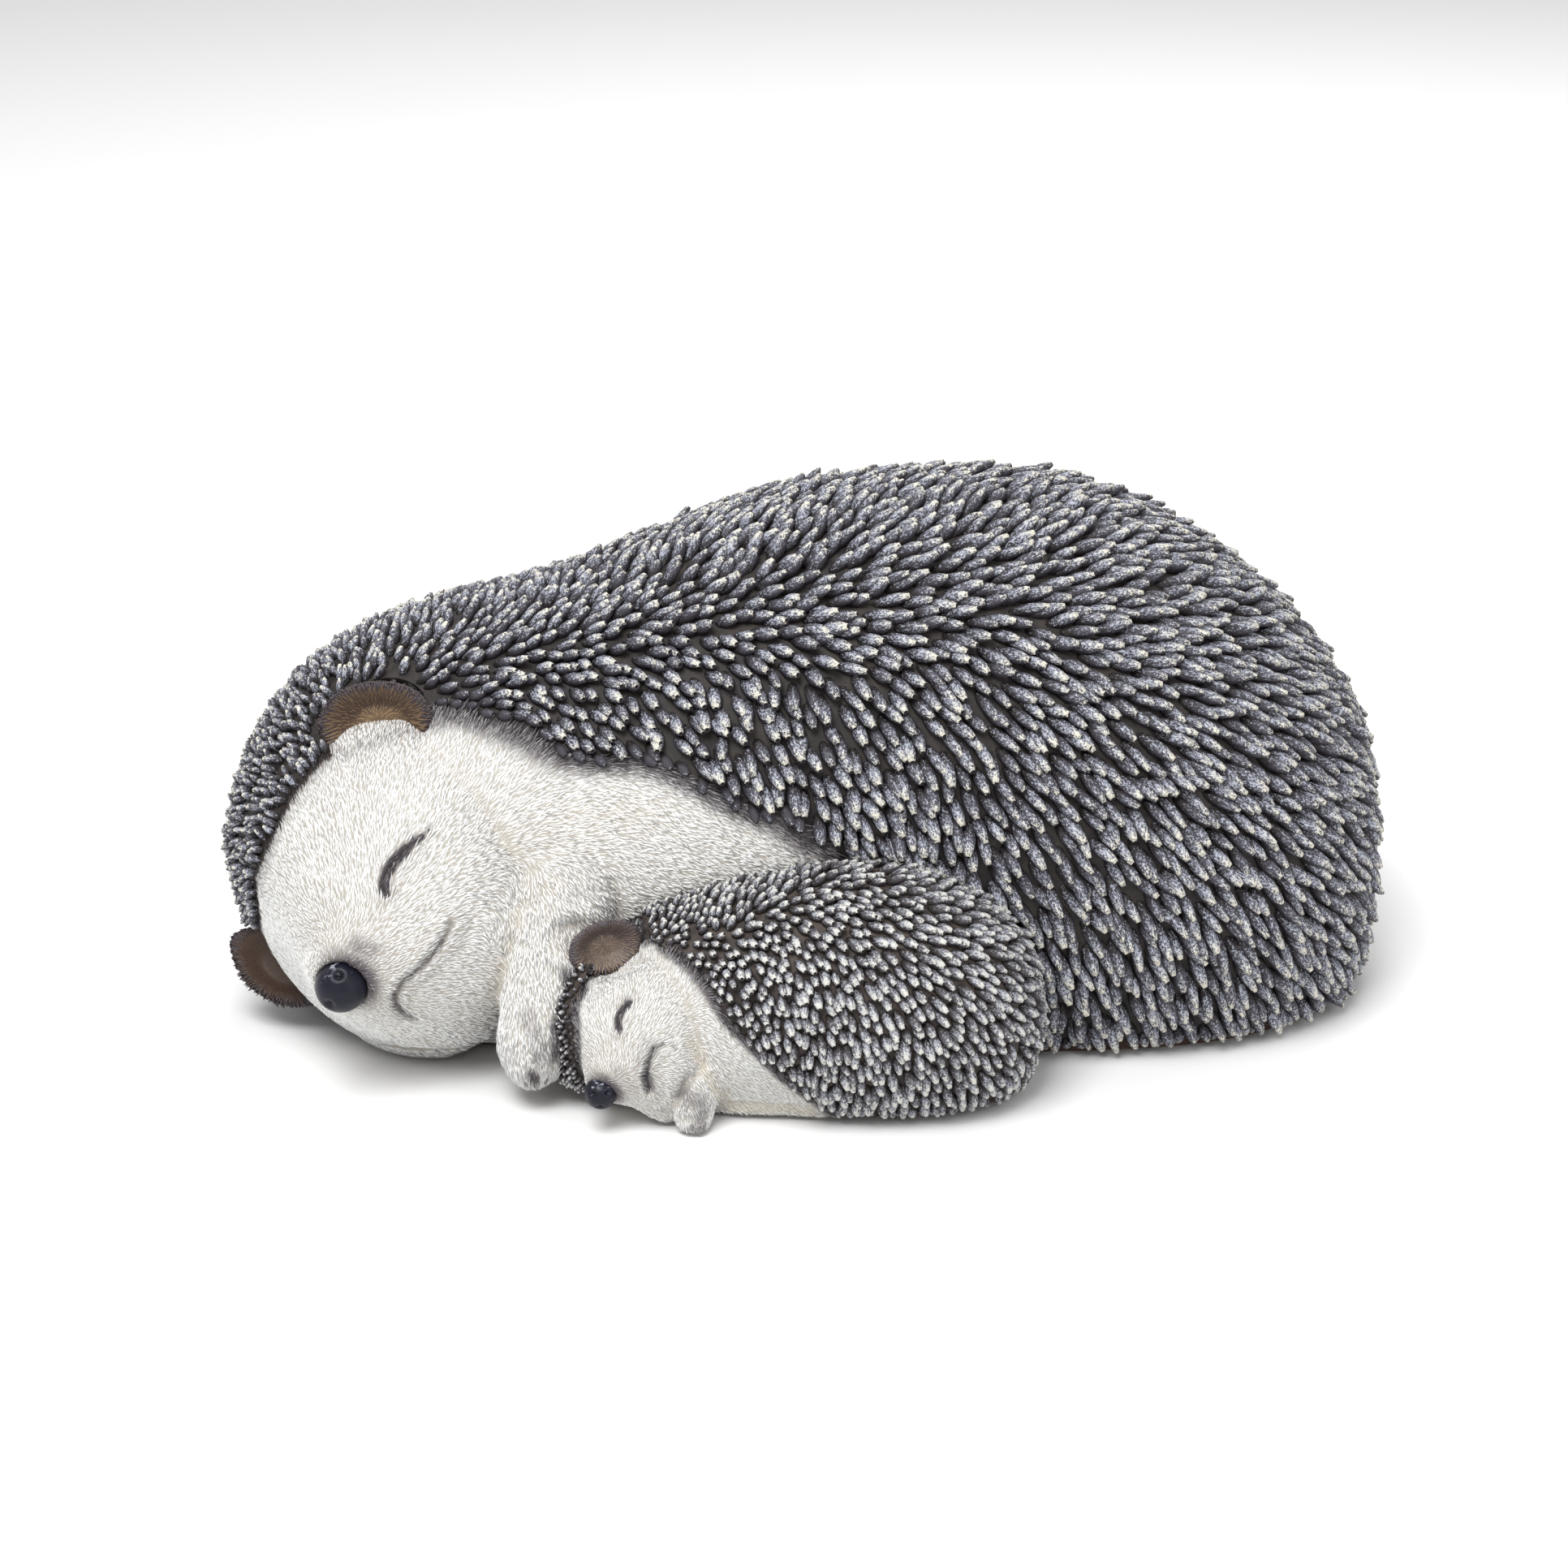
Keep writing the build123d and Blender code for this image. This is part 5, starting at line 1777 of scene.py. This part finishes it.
def baby_fur() -> FurSkin:
    """The young one's face, belly and arm."""
    return FurSkin(
        nodes=("baby_head", "baby_belly", "baby_arm"),
        coat="baby_coat",
        piece_name="baby_fur_skin",
        strand_name="baby_fur_strands",
        voxel=0.6,
        creases=(
            Crease(((763, 1269), (761, 1260), (763, 1251), (768, 1243), (776, 1236)), 0.85, 0.95, 0.3),
            Crease(((801, 1346), (796, 1330), (798, 1309), (804, 1294), (816, 1288)), 1.0, 1.0, 0.25),
            Crease(((838, 1352), (843, 1332)), 1.6, 0.6, 0.1),
        ),
        # Grey smudges: airbrushed tint on the eye, and painted shade in the fold by the mouth, in the paw's
        # crease, on the paw and along the quills' edge.
        ash=(
            Smudge(((763, 1268), (761, 1260), (763, 1251), (768, 1243), (775, 1237)), 1.35, 0.95, 0.35),
            Smudge(((801, 1344), (796, 1328), (798, 1309), (806, 1292)), 1.4, 0.68, 0.2),
            Smudge(((794, 1338), (790, 1310), (796, 1290)), 4.0, 0.30),
            Smudge(((796, 1326), (799, 1342)), 2.2, 0.85, 0.3),
            Smudge(((780, 1340), (760, 1320)), 3.4, 0.30),
            Smudge(((845, 1350), (866, 1362), (862, 1390)), 4.2, 0.50),
            Smudge(((838, 1350), (846, 1322)), 1.8, 0.40),
            Smudge(((710, 1200), (716, 1230), (712, 1262)), 2.2, 0.35),
        ),
        ochre=(
            Smudge(((850, 1280), (880, 1340), (905, 1368)), 3.0, 0.4),
            Smudge(((1000, 1370), (920, 1366)), 4.0, 0.4),
            Smudge(((800, 1200), (850, 1240)), 6.0, 0.15),
        ),
        nose=BABY_NOSE,
        nose_radius=BABY_NOSE_RADIUS,
        muzzle=3.8,
        strokes=[
            (760, 1300, 100), (730, 1260, 110), (725, 1300, 130), (770, 1220, 85), (760, 1190, 90),
            (800, 1180, 70), (830, 1200, 60), (800, 1240, 65), (840, 1240, 40), (790, 1280, 55),
            (820, 1290, 30), (850, 1280, 10), (830, 1330, -10), (800, 1350, -60), (770, 1350, -20),
            (860, 1310, -60), (870, 1350, -80), (864, 1380, -85), (900, 1300, -35), (930, 1330, -30),
            (970, 1350, -25), (1010, 1370, -20), (900, 1350, -20), (890, 1260, -45),
        ],
        gap=0.43,
        strand_length=2.0,
        strand_radius=0.22,
        edge=1.9,
        seed=12,
        hem=1.8,
        pushes=(
            Push((-46.0, -94.0, 8.0), 15.0, (0.0, 0.0, 3.0)),
            Push((-42.0, -78.0, 41.0), 13.0, (0.0, 1.0, -3.5)),
            Push((-49.0, -81.0, 38.0), 14.0, (0.0, 2.0, -3.0)),
            Push((-24.5, -96.0, 6.0), 12.0, (-1.3, 0.5, 0.0), (0.68, 0.85, 1.0)),
        ),
    )


def mother_quills() -> QuillCoat:
    """The mother's quills, short and upright on her crown and long on her back."""
    return QuillCoat(
        node="mother_coat",
        replaced=("mother_crown_quills", "mother_back_quills", "mother_flank_quills", "mother_rump_quills"),
        piece_name="mother_quills",
        paint=QuillPaint(),
        slot=Slot.GREY_QUILL,
        strokes=MOTHER_QUILL_STROKES,
        hidden_strokes=MOTHER_HIDDEN_STROKES,
        stations=(-141, -115, -85, -40, 0, 60, 140),
        gaps=(2.05, 2.10, 2.60, 2.95, 3.1, 3.25, 3.25),
        lengths=(3.5, 3.9, 5.5, 6.6, 7.4, 8.6, 9.2),
        radii=(0.95, 1.02, 1.38, 1.68, 1.72, 1.68, 1.66),
        leans=(55, 48, 35, 30, 30, 26, 25),
        wild=(0.5, 0.40, 0.18, 0.16, 0.16, 0.14, 0.13),
        floor_gap=3.5,
        fur_reach=3.4,
        seed=21,
        bare=(((300, 1225), (430, 1225), (430, 1300), (300, 1300)),),
    )


def baby_quills() -> QuillCoat:
    """The young one's quills, like beads by its head and longer on its back."""
    return QuillCoat(
        node="baby_coat",
        replaced=("baby_quills",),
        piece_name="baby_quills_dressed",
        paint=QuillPaint(
            name="baby_quill_paint", gap=(0.022, 0.017, 0.016), stain=(0.060, 0.053, 0.058),
            brushed=(0.42, 0.44, 0.50), tip=(0.66, 0.65, 0.60), cover=0.60, tip_start=0.60, flecked=0.75,
        ),
        slot=Slot.CREAM_QUILL,
        strokes=BABY_QUILL_STROKES,
        hidden_strokes=BABY_HIDDEN_STROKES,
        stations=(-61, -50, -44, -30, -5, 20, 54),
        gaps=(1.05, 1.10, 1.36, 1.66, 2.00, 2.26, 2.36),
        lengths=(1.9, 1.9, 2.0, 2.8, 4.1, 4.7, 5.1),
        radii=(0.60, 0.62, 0.76, 0.98, 1.22, 1.30, 1.28),
        leans=(80, 76, 62, 54, 34, 29, 27),
        wild=(0.3, 0.3, 0.25, 0.2, 0.12, 0.10, 0.10),
        floor_gap=1.5,
        fur_reach=1.5,
        seed=22,
    )


@dataclass(frozen=True)
class ClawSet:
    """The small claws that peep out of a paw's fur, set by pixels of the photograph."""

    node: str
    piece_name: str
    spots: list[Stroke]
    length: float
    radius: float

    def build(self, view: Viewpoint, surface: Surface, material: bpy.types.Material) -> None:
        """Plants the claws on the paw.

        Args:
            view: The photograph's viewpoint.
            surface: The paw's skin.
            material: The claws' paint.
        """
        rng = np.random.default_rng(len(self.spots))
        flow = Flow().by_eye(surface, view, self.spots)
        normals = np.array([surface.under(view, spot[:2])[1] for spot in self.spots])
        points, ways = np.array(flow.places), np.array(flow.ways)
        axes = unit(ways + normals * 0.25)
        ups = unit(flattened(normals, axes))
        count = len(points)
        growth = Growth(
            drawn_out(10, CLAW_RINGS), points, axes, ups, np.full(count, self.radius * MM),
            np.full(count, self.length * MM), np.full(count, -0.2), np.full(count, 0.8),
        )
        pieces = growth.grow(self.piece_name, material, rng)
        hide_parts(self.node)


def ears() -> tuple[Ear, ...]:
    """The three ears that show."""
    return (
        Ear(
            node="mother_near_ear", piece_name="mother_near_ear_dressed", middle=(-100.6, -47.5, 82.0),
            way=(-0.12, -0.97, 0.08), radius=13.9, wall=1.5, depth=4.6, gap=0.62, ridge_length=2.3,
            ridge_radius=0.36, seed=31, flat=0.74, turn=12.0,
        ),
        Ear(
            node="mother_far_ear", piece_name="mother_far_ear_dressed", middle=(-127.6, -34.0, 15.7),
            way=(-0.20, -0.85, 0.50), radius=14.2, wall=1.3, depth=4.0, gap=0.62, ridge_length=2.3,
            # The far ear's cup is painted far darker than the near ear's: painted shade.
            ridge_radius=0.36, seed=32, paint=EarPaint(name="far_ear_shaded_paint", cup=(0.085, 0.055, 0.042)),
            point=0.30, flat=0.60, turn=-24.0,
        ),
        Ear(
            node="baby_near_ear", piece_name="baby_near_ear_dressed", middle=(-46.3, -77.0, 38.2),
            way=(0.34, -0.93, 0.12), radius=9.0, wall=1.1, depth=2.8, gap=0.50, ridge_length=1.8,
            ridge_radius=0.30, seed=33, flat=0.68, turn=8.0,
            paint=EarPaint(
                name="baby_ear_paint", edge=(0.075, 0.060, 0.066), ridge=(0.20, 0.165, 0.17),
                deep=(0.075, 0.055, 0.052), cup=(0.27, 0.20, 0.14),
            ),
        ),
    )


def noses() -> tuple[Nose, ...]:
    """The two noses."""
    return (
        Nose(
            "mother_nose", "mother_nose_gloss", MOTHER_NOSE, MOTHER_NOSE_RADIUS,
            ((0.03, -0.643, 0.766),), (-0.40, -0.812, -0.418),
        ),
        Nose(
            "baby_nose", "baby_nose_gloss", BABY_NOSE, BABY_NOSE_RADIUS,
            ((0.45, -0.80, 0.40), (-0.45, -0.85, 0.35)), (0.0, -0.80, -0.60),
        ),
    )


def claw_sets() -> tuple[ClawSet, ...]:
    """The claws of the two paws in sight."""
    mother_spots = [(648, 1334, -75), (660, 1337, -85), (672, 1331, -95)]
    baby_spots = [(852, 1386, -80), (860, 1389, -85), (868, 1386, -95)]
    return (
        ClawSet("mother_claws", "mother_claws_dressed", mother_spots, 2.2, 0.6),
        ClawSet("baby_claws", "baby_claws_dressed", baby_spots, 1.8, 0.45),
    )


def dress_coats() -> None:
    """Paints the two coats, which stay in sight between the quills."""
    for node, paint in (("mother_coat", COAT_SKIN), ("baby_coat", BABY_SKIN)):
        dress(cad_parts[node], paint.build())
        LOG.info("%s: painted", node)


def make_base() -> None:
    """Makes the base from a copy of its casting, drawn in so that its edge stays under the fur."""
    plate = placed("base_dressed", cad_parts["base_plate"].data.copy())
    points = mesh_points(plate)
    middle = (points.min(axis=0) + points.max(axis=0)) / 2
    points[:, :2] = middle[:2] + (points[:, :2] - middle[:2]) * np.array(BASE_SHRINK)
    move_points(plate, points)
    dress(plate, BASE_PAINT.build())
    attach(plate, BODY)
    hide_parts("base_plate")
    LOG.info("%s", plate.name)


def main() -> None:
    """Builds the scene in order."""
    logging.basicConfig(level=logging.INFO, format="%(name)s %(message)s")
    view = Viewpoint()
    view.build()
    studio()
    dress_coats()
    make_base()
    fur_paint = FurPaint().build()
    furs = (mother_fur(), baby_fur())
    for fur in furs:
        fur.skin(view)
        fur.dress(fur_paint)
    coats = [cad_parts["mother_coat"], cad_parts["baby_coat"]]
    blockers = Surface(coats + [fur.piece for fur in furs] + [ear.build()[0] for ear in ears()])
    for fur in furs:
        fur.strands(view, blockers, fur_paint)
    fur_surface = Surface([fur.piece for fur in furs])
    for quills, fur in zip((mother_quills(), baby_quills()), furs):
        quills.build(view, blockers, fur_surface, fur)
    gloss, claw_paint = NoseGloss().build(), CLAW_PAINT.build()
    for nose in noses():
        nose.build(gloss)
    for claws, fur in zip(claw_sets(), furs):
        claws.build(view, fur.surface, claw_paint)


if __name__ == "__main__":
    main()
